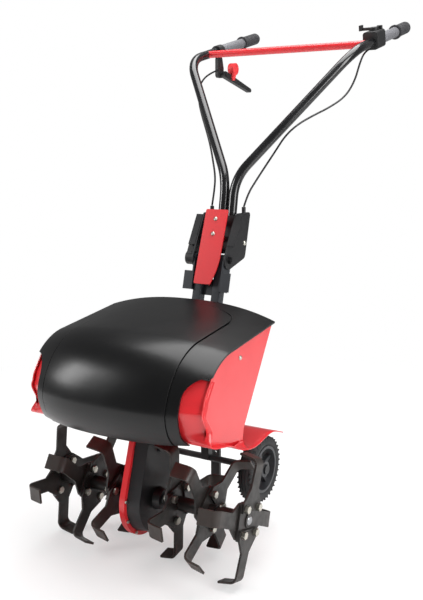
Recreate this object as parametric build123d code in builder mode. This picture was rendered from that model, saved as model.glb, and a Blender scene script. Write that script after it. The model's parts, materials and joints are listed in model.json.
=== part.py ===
"""Petrol garden tiller: hooded engine over six tine stars, on a raised pair of wheels.

Lengths are millimetres. X runs along the tine axle, +Y points back to the grips and +Z up.
Pieces are placed from the ground point under the middle of the tine axle, and the last step
moves them all so that the origin is at the middle of the machine's footprint.
"""
from build123d import *
from math import atan, atan2, cos, degrees, hypot, pi, radians, sin, tan
import os

os.makedirs("parts", exist_ok=True)

# ---- driving sizes -----------------------------------------------------------------------
RUNNING = 0.05                     # radial room of a shaft in its bearing
SLIDING = 0.3                      # room beside pieces that slide or swing past each other
SEAM = 0.2                         # room between covers that are screwed together

# tines
SHAFT_DIAMETER = 20
HUB_DIAMETER = 32
STAR_PLACES = (78, 160, 253)       # plate middles, inner to outer, on each side
STAR_PHASES_RIGHT = (10, 40, 75)   # degrees, blade angle from straight back, upwards
STAR_PHASES_LEFT = (30, 60, 5)
PLATE_SIZE = 84
PLATE_THICKNESS = 5
BOLT_SQUARE = 54                   # side of the square on which the star bolts stand
BLADE_THICKNESS = 5
BLADE_WIDTH = 34
BLADE_LEAN = 14                    # how far the blade's end trails behind its root
BLADE_REACH = 116                  # axle to the start of the side bend
BEND_RADIUS = 12
BEND_ANGLE = 80
FOOT_LENGTH = 30
STAR_BOLT_DIAMETER = 10

# chain case
CASE_LOW_RADIUS = 90
CASE_TOP_RADIUS = 46
CASE_WALL = 3
CASE_LEFT_DEPTH = 14               # of the half with the wide rim
CASE_RIGHT_DEPTH = 30
CASE_RIM = 9                       # how far the left half's rim stands proud of the right half
CASE_JOINT_X = -6                  # where the halves meet
INPUT_Y, INPUT_Z = 20, 345
MIDDLE_Y, MIDDLE_Z = 11, 262
CHAIN_PITCH = 9.525
LARGE_TEETH, MIDDLE_TEETH, SMALL_TEETH = 36, 30, 11
SPROCKET_THICKNESS = 5
LOW_CHAIN_X, HIGH_CHAIN_X = 10, -9

# hood and pan
HOOD_HALF_WIDTH = 225
HOOD_WALL = 4.5
PANEL_DEPTH = 2.2                  # recess that holds the centre panel
PANEL_PROUD = 1.5
PANEL_HALF_WIDTH = 160
PANEL_GROOVE = 3
PANEL_REAR = 162
PAN_HALF_WIDTH = 240
PAN_WALL = 2.5
WALL_X = 219.5                     # inner face of each side wall
HOOD_REAR = (184, 571)             # centre outline of the hood, back to front
HOOD_SHOULDER = (-60, 539)
HOOD_BROW = (-149, 491)
HOOD_NOSE = (-191, 408)
HOOD_CHIN = (-184, 368)
HOOD_HEM = (-160, 333)
NOSE_CENTRE = (-40, 389)
SHRINK_POINT = (148, 364)          # the outline shrinks towards here away from the middle
SHRINK_SHARE = 0.15
SHRINK_POWER = 2.45

# deck and engine
DECK_Z = 306
DECK_THICKNESS = 4
DECK_FRONT, DECK_REAR, DECK_HALF_WIDTH = 4, 218, 130
CRANK_Y, CRANK_Z = 118, 395
BELT_X = -98
BELT_WIDTH, BELT_DEPTH = 10, 8
DRIVE_PULLEY_RADIUS, DRIVEN_PULLEY_RADIUS = 28, 41
CRANKCASE_SIZE = (110, 88, 146)

# column and handlebar
LEG_X, LEG_WIDTH, LEG_DEPTH = 27, 24, 24
LEG_FOOT = (196, DECK_Z + DECK_THICKNESS)
PIVOT = (285, 655)
PIVOT_DIAMETER = 10
EAR_THICKNESS = 4
TUBE_DIAMETER, TUBE_WALL = 24, 2
TUBE_LOW = (13, 343, 662)
TUBE_KINK = (13, 374, 850)
TUBE_SHOULDER = (244, 578, 1168)
TUBE_END = (244, 968, 1268.2)
TUBE_BEND_RADIUS = 130
GRIP_DIAMETER, GRIP_LENGTH = 34, 98
CROSSBAR_DIAMETER = 20
CROSSBAR_Y = 672
CABLE_DIAMETER = 5

# wheels and depth spur
WHEEL_Y, WHEEL_Z = 255, 151
WHEEL_RADIUS, WHEEL_WIDTH, WHEEL_X = 83.5, 42, 150
TYRE_BORE_RADIUS = 58
RIM_HUB_RADIUS = 20
WHEEL_AXLE_DIAMETER = 16
POST_SIZE, POST_TOP = 22, 374
SPUR_Y, SPUR_WIDTH, SPUR_DEPTH, SPUR_TOP = 303, 26, 10, 352
HITCH_LOW, HITCH_HIGH = 260, 304

# ---- values that follow ------------------------------------------------------------------
BLADE_END_HEIGHT = BLADE_REACH + (BEND_RADIUS + BLADE_THICKNESS) * sin(radians(BEND_ANGLE))
TIP_HEIGHT = BLADE_END_HEIGHT + FOOT_LENGTH * cos(radians(BEND_ANGLE))
TRAILING_CORNER = BLADE_LEAN + BLADE_WIDTH / 2
TINE_RADIUS = hypot(TIP_HEIGHT, TRAILING_CORNER)
CORNER_ANGLE = degrees(atan(TRAILING_CORNER / TIP_HEIGHT))
PHASES = STAR_PHASES_RIGHT + STAR_PHASES_LEFT
# the lowest blade corner touches the ground
AXLE_Z = max(
    -TINE_RADIUS * sin(radians(phase + quarter * 90 - CORNER_ANGLE))
    for phase in PHASES
    for quarter in range(4)
)


def pitch_radius(teeth):
    return CHAIN_PITCH / (2 * sin(pi / teeth))


def side_plane(x):
    """A sketch plane across the axle: its own x is +Y, its own y is +Z, it faces +X."""
    return Plane.YZ.offset(x)


def shrink(x):
    return 1 - SHRINK_SHARE * abs(x / HOOD_HALF_WIDTH) ** SHRINK_POWER


def hood_point(point, depth, x):
    """A point of the hood outline, depth under the skin, in the section at x."""
    y, z = point
    if y > HOOD_SHOULDER[0]:
        slope = atan2(HOOD_REAR[1] - HOOD_SHOULDER[1], HOOD_REAR[0] - HOOD_SHOULDER[0])
        y, z = y + depth * sin(slope), z - depth * cos(slope)
    else:
        away = hypot(y - NOSE_CENTRE[0], z - NOSE_CENTRE[1])
        y = NOSE_CENTRE[0] + (y - NOSE_CENTRE[0]) * (1 - depth / away)
        z = NOSE_CENTRE[1] + (z - NOSE_CENTRE[1]) * (1 - depth / away)
    k = shrink(x)
    return (SHRINK_POINT[0] + k * (y - SHRINK_POINT[0]), SHRINK_POINT[1] + k * (z - SHRINK_POINT[1]))


def stations(half_width):
    shares = (-1, -0.9, -0.75, -0.5, -0.25, 0, 0.25, 0.5, 0.75, 0.9, 1)
    return [share * half_width for share in shares]


def hood_layer(outer, inner, half_width):
    """The skin of the hood between two depths, from side to side."""
    with BuildPart() as layer:
        for x in stations(half_width):
            outside = [hood_point(p, outer, x) for p in
                       (HOOD_REAR, HOOD_SHOULDER, HOOD_BROW, HOOD_NOSE, HOOD_CHIN, HOOD_HEM)]
            inside = [hood_point(p, inner, x) for p in
                      (HOOD_REAR, HOOD_SHOULDER, HOOD_BROW, HOOD_NOSE, HOOD_CHIN, HOOD_HEM)]
            with BuildSketch(side_plane(x)):
                with BuildLine():
                    Line(outside[0], outside[1])
                    ThreePointArc(outside[1], outside[2], outside[3])
                    ThreePointArc(outside[3], outside[4], outside[5])
                    Line(outside[5], inside[5])
                    ThreePointArc(inside[5], inside[4], inside[3])
                    ThreePointArc(inside[3], inside[2], inside[1])
                    Line(inside[1], inside[0])
                    Line(inside[0], outside[0])
                make_face()
        loft()
    return layer.part


def panel_prism(inset):
    """Upright block inside the panel's edge line, with a bowed rear end."""
    half = PANEL_HALF_WIDTH - inset
    rear = PANEL_REAR - inset
    with BuildPart() as prism:
        with BuildSketch(Plane.XY.offset(200)) as outline:
            with BuildLine():
                Polyline((-half, 80), (-half, -400), (half, -400), (half, 80))
                Line((-half, 80), (-half, 118 - inset))
                Line((half, 80), (half, 118 - inset))
                ThreePointArc((-half, 118 - inset), (0, rear), (half, 118 - inset))
            make_face()
            fillet(outline.vertices().group_by(Axis.Y)[-1], radius=55)
        extrude(amount=500)
    return prism.part


# ---- hood --------------------------------------------------------------------------------
hood_skin = hood_layer(0, HOOD_WALL, HOOD_HALF_WIDTH)
with BuildPart() as panel_recess:
    add(hood_layer(-PANEL_PROUD, PANEL_DEPTH, HOOD_HALF_WIDTH))
    add(panel_prism(0), mode=Mode.INTERSECT)

CORNER_CUT_IN, CORNER_CUT_TOP, CORNER_CUT_LOW, CORNER_CUT_RADIUS = 181, 474, 322, 38
with BuildPart() as corner_cuts:
    with BuildSketch(Plane.XZ.offset(60)):
        with Locations(*[
            (side * (CORNER_CUT_IN + 50), (CORNER_CUT_TOP + CORNER_CUT_LOW) / 2) for side in (-1, 1)
        ]):
            RectangleRounded(100, CORNER_CUT_TOP - CORNER_CUT_LOW, CORNER_CUT_RADIUS)
    extrude(amount=200)

with BuildPart() as hood_cover:
    add(hood_skin)
    # the lower corners are cut away and show the pan behind
    add(corner_cuts.part, mode=Mode.SUBTRACT)
    add(panel_recess.part, mode=Mode.SUBTRACT)

with BuildPart() as hood_panel:
    add(hood_layer(-PANEL_PROUD, PANEL_DEPTH - SEAM, HOOD_HALF_WIDTH))
    add(panel_prism(PANEL_GROOVE), mode=Mode.INTERSECT)

# ---- pan with its side walls ---------------------------------------------------------------
PAN_SKIN = HOOD_WALL + 2           # how deep the pan lies behind the hood's skin
HOOD_FRONT, HOOD_CHEEK = (-176.6, 452.7), (-185.4, 430)   # between brow and nose
PAN_LIP = (-172, 366)
PAN_LOW_POINTS = [(-122, 337), (-48, 318), (3, 294), (62, 283), (140, 292), (199, 274)]


def pan_points(x):
    """Front and floor of the pan at x."""
    nose = (HOOD_BROW, HOOD_FRONT, HOOD_CHEEK, HOOD_NOSE, PAN_LIP)
    front = [hood_point(p, PAN_SKIN, x) for p in nose]
    return front + PAN_LOW_POINTS


def beside(points, distance):
    """Points moved sideways from a line of points, towards the inside of the pan."""
    moved = []
    last = len(points) - 1
    for i, (y, z) in enumerate(points):
        y0, z0 = points[max(i - 1, 0)]
        y1, z1 = points[min(i + 1, last)]
        length = hypot(y1 - y0, z1 - z0)
        moved.append((y - distance * (z1 - z0) / length, z + distance * (y1 - y0) / length))
    return moved


with BuildPart() as body_pan:
    for x in stations(PAN_HALF_WIDTH):
        outside = pan_points(x)
        inside = beside(outside, PAN_WALL)
        with BuildSketch(side_plane(x)):
            with BuildLine():
                Spline(*outside)
                Line(outside[-1], inside[-1])
                Spline(*reversed(inside))
                Line(inside[0], outside[0])
            make_face()
    loft()
    for x in (WALL_X, -WALL_X - PAN_WALL):
        floor = Edge.make_spline([Vector(*p) for p in beside(pan_points(x), PAN_WALL / 2)])
        foot = [floor @ (share / 60) for share in range(2, 61) if (floor @ (share / 60)).X < 30]
        top = [hood_point(p, PAN_SKIN + PAN_WALL / 2, x)
               for p in ((172, 569.4), HOOD_SHOULDER, (-108, 518), HOOD_BROW)]
        with BuildSketch(side_plane(x)):
            with BuildLine():
                Polyline(top[3], *foot, (39, 330), top[0], top[1])
                ThreePointArc(*top[1:])
            make_face()
        extrude(amount=PAN_WALL)
    # slot for the chain case and the hitch, open at the back
    with BuildSketch(Plane.XY.offset(200)):
        with Locations((1.5, 62)):
            Rectangle(56, 300)
    extrude(amount=150, mode=Mode.SUBTRACT)

# ---- chain case ----------------------------------------------------------------------------


def case_outline(x, low_radius, top_radius):
    """Egg-shaped face around the tine shaft and the input shaft."""
    with BuildSketch(side_plane(x)) as outline:
        with BuildLine():
            CenterArc((0, AXLE_Z), low_radius, 0, 360)
            CenterArc((INPUT_Y, INPUT_Z), top_radius, 0, 360)
        make_hull()
    return outline.sketch


BOSS_RADIUS, BOSS_LENGTH = 20, 16
MIDDLE_SHAFT_RADIUS = 8
MIDDLE_BOSS_RADIUS, MIDDLE_BOSS_LENGTH, BEARING_DEPTH = 14, 6.5, 5
CASE_BOLT_DIAMETER = 6
case_left_back = CASE_JOINT_X - CASE_LEFT_DEPTH
case_right_back = CASE_JOINT_X + CASE_RIGHT_DEPTH
with BuildPart() as chain_case_left:
    extrude(case_outline(case_left_back, CASE_LOW_RADIUS, CASE_TOP_RADIUS), amount=CASE_LEFT_DEPTH)
    extrude(case_outline(case_left_back + CASE_WALL, CASE_LOW_RADIUS - CASE_RIM - CASE_WALL,
                         CASE_TOP_RADIUS - CASE_WALL - 4),
            amount=CASE_LEFT_DEPTH, mode=Mode.SUBTRACT)
    with BuildSketch(side_plane(case_left_back)):
        with Locations((0, AXLE_Z), (INPUT_Y, INPUT_Z)):
            Circle(BOSS_RADIUS)
    extrude(amount=-BOSS_LENGTH)
    with BuildSketch(side_plane(case_left_back)):
        with Locations((MIDDLE_Y, MIDDLE_Z)):
            Circle(MIDDLE_BOSS_RADIUS)
    extrude(amount=-MIDDLE_BOSS_LENGTH)
    with BuildSketch(side_plane(case_left_back + CASE_WALL)):
        with Locations((MIDDLE_Y, MIDDLE_Z)):
            Circle(MIDDLE_SHAFT_RADIUS + RUNNING)
    extrude(amount=-CASE_WALL - BEARING_DEPTH, mode=Mode.SUBTRACT)
    with BuildSketch(side_plane(case_left_back - BOSS_LENGTH)):
        with Locations((0, AXLE_Z), (INPUT_Y, INPUT_Z)):
            Circle(SHAFT_DIAMETER / 2 + RUNNING)
    extrude(amount=BOSS_LENGTH + CASE_WALL, mode=Mode.SUBTRACT)

with BuildPart() as chain_case_right:
    extrude(case_outline(CASE_JOINT_X, CASE_LOW_RADIUS - CASE_RIM, CASE_TOP_RADIUS - 4),
            amount=CASE_RIGHT_DEPTH, taper=12)
    extrude(case_outline(CASE_JOINT_X, CASE_LOW_RADIUS - CASE_RIM - CASE_WALL,
                         CASE_TOP_RADIUS - 4 - CASE_WALL),
            amount=CASE_RIGHT_DEPTH - CASE_WALL, taper=12, mode=Mode.SUBTRACT)
    with BuildSketch(side_plane(case_right_back)):
        with Locations((0, AXLE_Z)):
            Circle(BOSS_RADIUS + 6)
    extrude(amount=BOSS_LENGTH, taper=15)
    with BuildSketch(side_plane(case_right_back)):
        with Locations((MIDDLE_Y, MIDDLE_Z)):
            Circle(MIDDLE_BOSS_RADIUS)
    extrude(amount=MIDDLE_BOSS_LENGTH)
    with BuildSketch(side_plane(case_right_back - CASE_WALL)):
        with Locations((MIDDLE_Y, MIDDLE_Z)):
            Circle(MIDDLE_SHAFT_RADIUS + RUNNING)
    extrude(amount=CASE_WALL + BEARING_DEPTH, mode=Mode.SUBTRACT)
    with BuildSketch(side_plane(CASE_JOINT_X)):
        with Locations((0, AXLE_Z)):
            Circle(SHAFT_DIAMETER / 2 + RUNNING)
    extrude(amount=CASE_RIGHT_DEPTH + BOSS_LENGTH, mode=Mode.SUBTRACT)

# bolts through the rim of the left half, beside the right half
with BuildPart() as case_bolts:
    for angle in range(170, 371, 33):
        y = (CASE_LOW_RADIUS - CASE_RIM / 2) * cos(radians(angle))
        z = AXLE_Z + (CASE_LOW_RADIUS - CASE_RIM / 2) * sin(radians(angle))
        with BuildSketch(side_plane(CASE_JOINT_X)):
            with Locations((y, z)):
                RegularPolygon(CASE_BOLT_DIAMETER * 0.7, 6)
        extrude(amount=4)

# ---- sprockets, chains and shafts ------------------------------------------------------------


def sprocket(teeth, x, y, z, bore_radius):
    """Toothed wheel around a bore, its tips just inside the chain's pins."""
    radius = pitch_radius(teeth)
    with BuildPart() as wheel:
        with BuildSketch(side_plane(x - SPROCKET_THICKNESS / 2)):
            with Locations((y, z)):
                Circle(radius - 2)
                with PolarLocations(radius - 2, teeth):
                    RegularPolygon(2.6, 3)
                if bore_radius:
                    Circle(bore_radius, mode=Mode.SUBTRACT)
        extrude(amount=SPROCKET_THICKNESS)
    return wheel.part


def hull_ring(x, first, second, outer, inner):
    """Face between two belt lines around two wheels; each wheel is (y, z, radius)."""
    with BuildSketch(side_plane(x)) as ring:
        with BuildLine():
            for y, z, radius in (first, second):
                CenterArc((y, z), radius + outer, 0, 360)
        make_hull()
    with BuildSketch(side_plane(x)) as hole:
        with BuildLine():
            for y, z, radius in (first, second):
                CenterArc((y, z), radius + inner, 0, 360)
        make_hull()
    return ring.sketch - hole.sketch


def chain(x, first, second):
    """Roller chain: two rows of link plates, and the pins of its straight runs."""
    plate_gap = SPROCKET_THICKNESS / 2 + SLIDING
    plate = 1.5
    with BuildPart() as links:
        for start in (x - plate_gap - plate, x + plate_gap):
            extrude(hull_ring(start, first, second, 4, -4), amount=plate)
        across, up = second[0] - first[0], second[1] - first[1]
        span = hypot(across, up)
        lean = degrees(atan2(up, across))
        tilt = degrees(atan2(first[2] - second[2], span))
        pins = int(span / CHAIN_PITCH) - 5
        for side in (-1, 1):
            direction = radians(lean + side * (90 - tilt))
            for i in range(2, pins):
                share = i / (pins + 2) + 0.12
                radius = first[2] + (second[2] - first[2]) * share
                y = first[0] + across * share + radius * cos(direction)
                z = first[1] + up * share + radius * sin(direction)
                with BuildSketch(side_plane(x - plate_gap)):
                    with Locations((y, z)):
                        Circle(2.2)
                extrude(amount=2 * plate_gap)
    return links


tine_wheel = (0, AXLE_Z, pitch_radius(LARGE_TEETH))
middle_small = (MIDDLE_Y, MIDDLE_Z, pitch_radius(SMALL_TEETH))
middle_large = (MIDDLE_Y, MIDDLE_Z, pitch_radius(MIDDLE_TEETH))
input_small = (INPUT_Y, INPUT_Z, pitch_radius(SMALL_TEETH))
chain_lower = chain(LOW_CHAIN_X, tine_wheel, middle_small)
chain_upper = chain(HIGH_CHAIN_X, middle_large, input_small)

with BuildPart() as tine_sprocket:
    add(sprocket(LARGE_TEETH, LOW_CHAIN_X, 0, AXLE_Z, SHAFT_DIAMETER / 2))

SHAFT_HALF_LENGTH = STAR_PLACES[2] + 7
PIN_RADIUS, PIN_PLACES = 3.5, (54, 188)
with BuildPart() as tine_shaft:
    with BuildSketch(side_plane(-SHAFT_HALF_LENGTH)):
        with Locations((0, AXLE_Z)):
            Circle(SHAFT_DIAMETER / 2)
    extrude(amount=2 * SHAFT_HALF_LENGTH)
    chamfer(tine_shaft.edges().filter_by(GeomType.CIRCLE), length=1.5)
    with BuildSketch(Plane.XY.offset(AXLE_Z - SHAFT_DIAMETER)):
        with Locations(*[(side * place, 0) for place in PIN_PLACES for side in (-1, 1)]):
            Circle(PIN_RADIUS + RUNNING)
    extrude(amount=2 * SHAFT_DIAMETER, mode=Mode.SUBTRACT)

bearing_room = BEARING_DEPTH - SLIDING
with BuildPart() as middle_shaft:
    with BuildSketch(side_plane(case_left_back - bearing_room)):
        with Locations((MIDDLE_Y, MIDDLE_Z)):
            Circle(MIDDLE_SHAFT_RADIUS)
    extrude(amount=CASE_LEFT_DEPTH + CASE_RIGHT_DEPTH + 2 * bearing_room)
    add(sprocket(SMALL_TEETH, LOW_CHAIN_X, MIDDLE_Y, MIDDLE_Z, 0))
    add(sprocket(MIDDLE_TEETH, HIGH_CHAIN_X, MIDDLE_Y, MIDDLE_Z, 0))

INPUT_SHAFT_LEFT = BELT_X - 14
with BuildPart() as input_shaft:
    with BuildSketch(side_plane(INPUT_SHAFT_LEFT)):
        with Locations((INPUT_Y, INPUT_Z)):
            Circle(SHAFT_DIAMETER / 2)
    extrude(amount=case_right_back - CASE_WALL - SLIDING - 6 - INPUT_SHAFT_LEFT)
    add(sprocket(SMALL_TEETH, HIGH_CHAIN_X, INPUT_Y, INPUT_Z, 0))


def pulley(radius, y, z, bore_radius, stub_radius=0, stub_end=0):
    """V-belt pulley around a bore, or with a stub shaft of its own that ends at some x."""
    half = BELT_WIDTH / 2 + 4
    floor = radius - BELT_DEPTH
    with BuildPart() as wheel:
        with BuildSketch(Plane((BELT_X, y, z), x_dir=(0, 1, 0), z_dir=(0, 0, 1))):
            with BuildLine():
                Polyline(
                    (bore_radius, -half), (radius + 2, -half), (radius + 2, -half + 2.5),
                    (floor, -BELT_WIDTH / 2 - 0.5), (floor, BELT_WIDTH / 2 + 0.5),
                    (radius + 2, half - 2.5), (radius + 2, half), (bore_radius, half), close=True,
                )
            make_face()
        revolve(axis=Axis((BELT_X, y, z), (1, 0, 0)))
        if stub_radius:
            with BuildSketch(side_plane(BELT_X)):
                with Locations((y, z)):
                    Circle(stub_radius)
            extrude(amount=stub_end - BELT_X)
    return wheel


driven_pulley = pulley(DRIVEN_PULLEY_RADIUS, INPUT_Y, INPUT_Z, SHAFT_DIAMETER / 2)
CRANKCASE_LEFT = -50
CRANK_RADIUS, CRANK_DEPTH = 11, 9
drive_pulley = pulley(DRIVE_PULLEY_RADIUS, CRANK_Y, CRANK_Z, 0,
                      CRANK_RADIUS, CRANKCASE_LEFT + CRANK_DEPTH)

belt_wheels = [
    (INPUT_Y, INPUT_Z, DRIVEN_PULLEY_RADIUS),
    (CRANK_Y, CRANK_Z, DRIVE_PULLEY_RADIUS),
]
with BuildPart() as v_belt:
    extrude(hull_ring(BELT_X - BELT_WIDTH / 2, *belt_wheels, 0, SLIDING - BELT_DEPTH), amount=BELT_WIDTH)

# idler that tightens the belt from above
IDLER_Y, IDLER_Z, IDLER_RADIUS = 60, 435, 16
IDLER_PIVOT_Y, IDLER_PIVOT_Z, IDLER_PIVOT_RADIUS = 152, 444, 6
IDLER_ARM_X, IDLER_ARM_THICKNESS = -84, 5
with BuildPart() as idler_arm:
    with BuildSketch(side_plane(IDLER_ARM_X)):
        with BuildLine():
            CenterArc((IDLER_PIVOT_Y, IDLER_PIVOT_Z), 12, 0, 360)
            CenterArc((IDLER_Y, IDLER_Z), 9, 0, 360)
        make_hull()
        with Locations((IDLER_PIVOT_Y, IDLER_PIVOT_Z)):
            Circle(IDLER_PIVOT_RADIUS + RUNNING, mode=Mode.SUBTRACT)
    extrude(amount=IDLER_ARM_THICKNESS)
    with BuildSketch(side_plane(IDLER_ARM_X)):
        with Locations((IDLER_Y, IDLER_Z)):
            Circle(4)
    extrude(amount=-22)
with BuildPart() as idler_pulley:
    with BuildSketch(side_plane(IDLER_ARM_X - SLIDING - 16)):
        with Locations((IDLER_Y, IDLER_Z)):
            Circle(IDLER_RADIUS)
            Circle(4 + RUNNING, mode=Mode.SUBTRACT)
    extrude(amount=16)

# ---- deck and engine -------------------------------------------------------------------------
with BuildPart() as engine_deck:
    with BuildSketch(Plane.XY.offset(DECK_Z)):
        with Locations((0, (DECK_FRONT + DECK_REAR) / 2)):
            RectangleRounded(2 * DECK_HALF_WIDTH, DECK_REAR - DECK_FRONT, 15)
        with Locations((2, 30)):
            Rectangle(50, 84, mode=Mode.SUBTRACT)
        # room for the belt and its lower pulley
        with Locations((BELT_X, 28)):
            Rectangle(30, 60, mode=Mode.SUBTRACT)
        with Locations(*[(x, y) for x in (-110, 110) for y in (30, 190)]):
            Circle(4.5, mode=Mode.SUBTRACT)
    extrude(amount=DECK_THICKNESS)

engine_floor = DECK_Z + DECK_THICKNESS
case_wide, case_long, case_tall = CRANKCASE_SIZE
CRANKCASE_MIDDLE_X = CRANKCASE_LEFT + case_wide / 2
with BuildPart() as crankcase:
    with BuildSketch(Plane.XY.offset(engine_floor)):
        with Locations((CRANKCASE_MIDDLE_X, CRANK_Y)):
            RectangleRounded(case_wide, case_long, 12)
    extrude(amount=case_tall)
    with BuildSketch(side_plane(CRANKCASE_LEFT)):
        with Locations((CRANK_Y, CRANK_Z)):
            Circle(24)
    extrude(amount=-6)
    with BuildSketch(side_plane(CRANKCASE_LEFT - 6)):
        with Locations((CRANK_Y, CRANK_Z)):
            Circle(CRANK_RADIUS + RUNNING)
    extrude(amount=6 + CRANK_DEPTH + SLIDING, mode=Mode.SUBTRACT)
    # stud that carries the idler arm
    with BuildSketch(side_plane(CRANKCASE_LEFT)):
        with Locations((IDLER_PIVOT_Y, IDLER_PIVOT_Z)):
            Circle(10)
    extrude(amount=IDLER_ARM_X + IDLER_ARM_THICKNESS + SLIDING - CRANKCASE_LEFT)
    with BuildSketch(side_plane(CRANKCASE_LEFT)):
        with Locations((IDLER_PIVOT_Y, IDLER_PIVOT_Z)):
            Circle(IDLER_PIVOT_RADIUS)
    extrude(amount=IDLER_ARM_X - 4 - CRANKCASE_LEFT)

crankcase_top = engine_floor + case_tall
with BuildPart() as cylinder:
    with BuildSketch(Plane.XY.offset(crankcase_top)):
        with Locations((CRANKCASE_MIDDLE_X, CRANK_Y)):
            RectangleRounded(80, 70, 20)
    extrude(amount=84)
    for level in range(6):
        with BuildSketch(Plane.XY.offset(crankcase_top + 8 + 13 * level)):
            with Locations((CRANKCASE_MIDDLE_X, CRANK_Y)):
                RectangleRounded(100, 90, 12)
        extrude(amount=4)
    with BuildSketch(Plane.XY.offset(crankcase_top + 84)):
        with Locations((CRANKCASE_MIDDLE_X, CRANK_Y)):
            RectangleRounded(50, 44, 10)
    extrude(amount=6, taper=20)

RECOIL_RADIUS, RECOIL_DEPTH = 72, 42
crankcase_right = CRANKCASE_LEFT + case_wide
with BuildPart() as recoil_housing:
    with BuildSketch(side_plane(crankcase_right)):
        with Locations((CRANK_Y, CRANK_Z)):
            Circle(RECOIL_RADIUS)
    extrude(amount=RECOIL_DEPTH)
    fillet(recoil_housing.edges().filter_by(GeomType.CIRCLE).sort_by(Axis.X)[-1], radius=14)
    with BuildSketch(side_plane(crankcase_right + RECOIL_DEPTH)):
        with Locations((CRANK_Y, CRANK_Z)):
            with PolarLocations(38, 12):
                SlotOverall(26, 5, rotation=0)
    extrude(amount=-3, mode=Mode.SUBTRACT)
PULL_ANGLE = 30
pull_out = (0, cos(radians(PULL_ANGLE)), sin(radians(PULL_ANGLE)))
pull_x = crankcase_right + RECOIL_DEPTH / 2
PULL_PLACE = RECOIL_RADIUS + SLIDING
with BuildPart() as recoil_handle:
    with BuildSketch(Plane(
        (pull_x, CRANK_Y + PULL_PLACE * pull_out[1], CRANK_Z + PULL_PLACE * pull_out[2]),
        x_dir=(1, 0, 0), z_dir=pull_out,
    )):
        SlotOverall(46, 14)
    extrude(amount=12)
    fillet(recoil_handle.edges().group_by(Axis.Z)[-1], radius=2)

MUFFLER_TOP = 536
with BuildPart() as muffler:
    with BuildSketch(Plane.XY.offset(MUFFLER_TOP - 62)):
        with Locations((112, 106)):
            RectangleRounded(78, 88, 18)
    extrude(amount=62)
    fillet(muffler.edges().group_by(Axis.Z)[-1], radius=8)
    with BuildSketch(side_plane(73)):
        with Locations((CRANK_Y, 506)):
            Circle(13)
    extrude(amount=CRANKCASE_MIDDLE_X + 50 - 73)
    with BuildSketch(side_plane(151)):
        with Locations((132, 496)):
            Circle(9)
    extrude(amount=12)
    with BuildSketch(side_plane(163)):
        with Locations((132, 496)):
            Circle(7)
    extrude(amount=-10, mode=Mode.SUBTRACT)

TANK_TOP = 497
with BuildPart() as fuel_tank:
    with BuildSketch(Plane.XY.offset(TANK_TOP - 72)):
        with Locations((-30, -34)):
            RectangleRounded(180, 142, 30)
    extrude(amount=72)
    fillet(fuel_tank.edges().group_by(Axis.Z)[-1], radius=16)
    with BuildSketch(Plane.XY.offset(TANK_TOP)):
        with Locations((-60, -20)):
            Circle(16)
    extrude(amount=8)
    # lug that seats on the crankcase
    with BuildSketch(Plane.XY.offset(crankcase_top)):
        with Locations((CRANKCASE_MIDDLE_X, 52)):
            Rectangle(60, 60)
    extrude(amount=5)

with BuildPart() as fuel_cap:
    with BuildSketch(Plane.XY.offset(TANK_TOP + 8 + SLIDING)):
        with Locations((-60, -20)):
            Circle(21)
            with PolarLocations(22, 12):
                Circle(1.8, mode=Mode.SUBTRACT)
    extrude(amount=13)

with BuildPart() as air_filter:
    with BuildSketch(Plane.XY.offset(472)):
        with Locations((-106, 122)):
            RectangleRounded(88, 84, 16)
    extrude(amount=62)
    fillet(air_filter.edges().group_by(Axis.Z)[-1], radius=8)
    with BuildSketch(side_plane(-63)):
        with Locations((CRANK_Y, 504)):
            Circle(14)
    extrude(amount=CRANKCASE_MIDDLE_X - 50 + 63)

# ---- lower column ------------------------------------------------------------------------------
leg_angle = atan2(PIVOT[1] - LEG_FOOT[1], PIVOT[0] - LEG_FOOT[0])
leg_up = (0, cos(leg_angle), sin(leg_angle))
leg_length = hypot(PIVOT[1] - LEG_FOOT[1], PIVOT[0] - LEG_FOOT[0])
LEG_WALL, LEG_PAST_PIVOT = 2.5, 18
EAR_OUTSIDE = LEG_X + LEG_WIDTH / 2 + EAR_THICKNESS


def leg_plane(distance, x=0):
    """Plane square to the legs, some way up from their feet."""
    return Plane(
        (x, LEG_FOOT[0] + leg_up[1] * distance, LEG_FOOT[1] + leg_up[2] * distance),
        x_dir=(1, 0, 0), z_dir=leg_up,
    )


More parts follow.
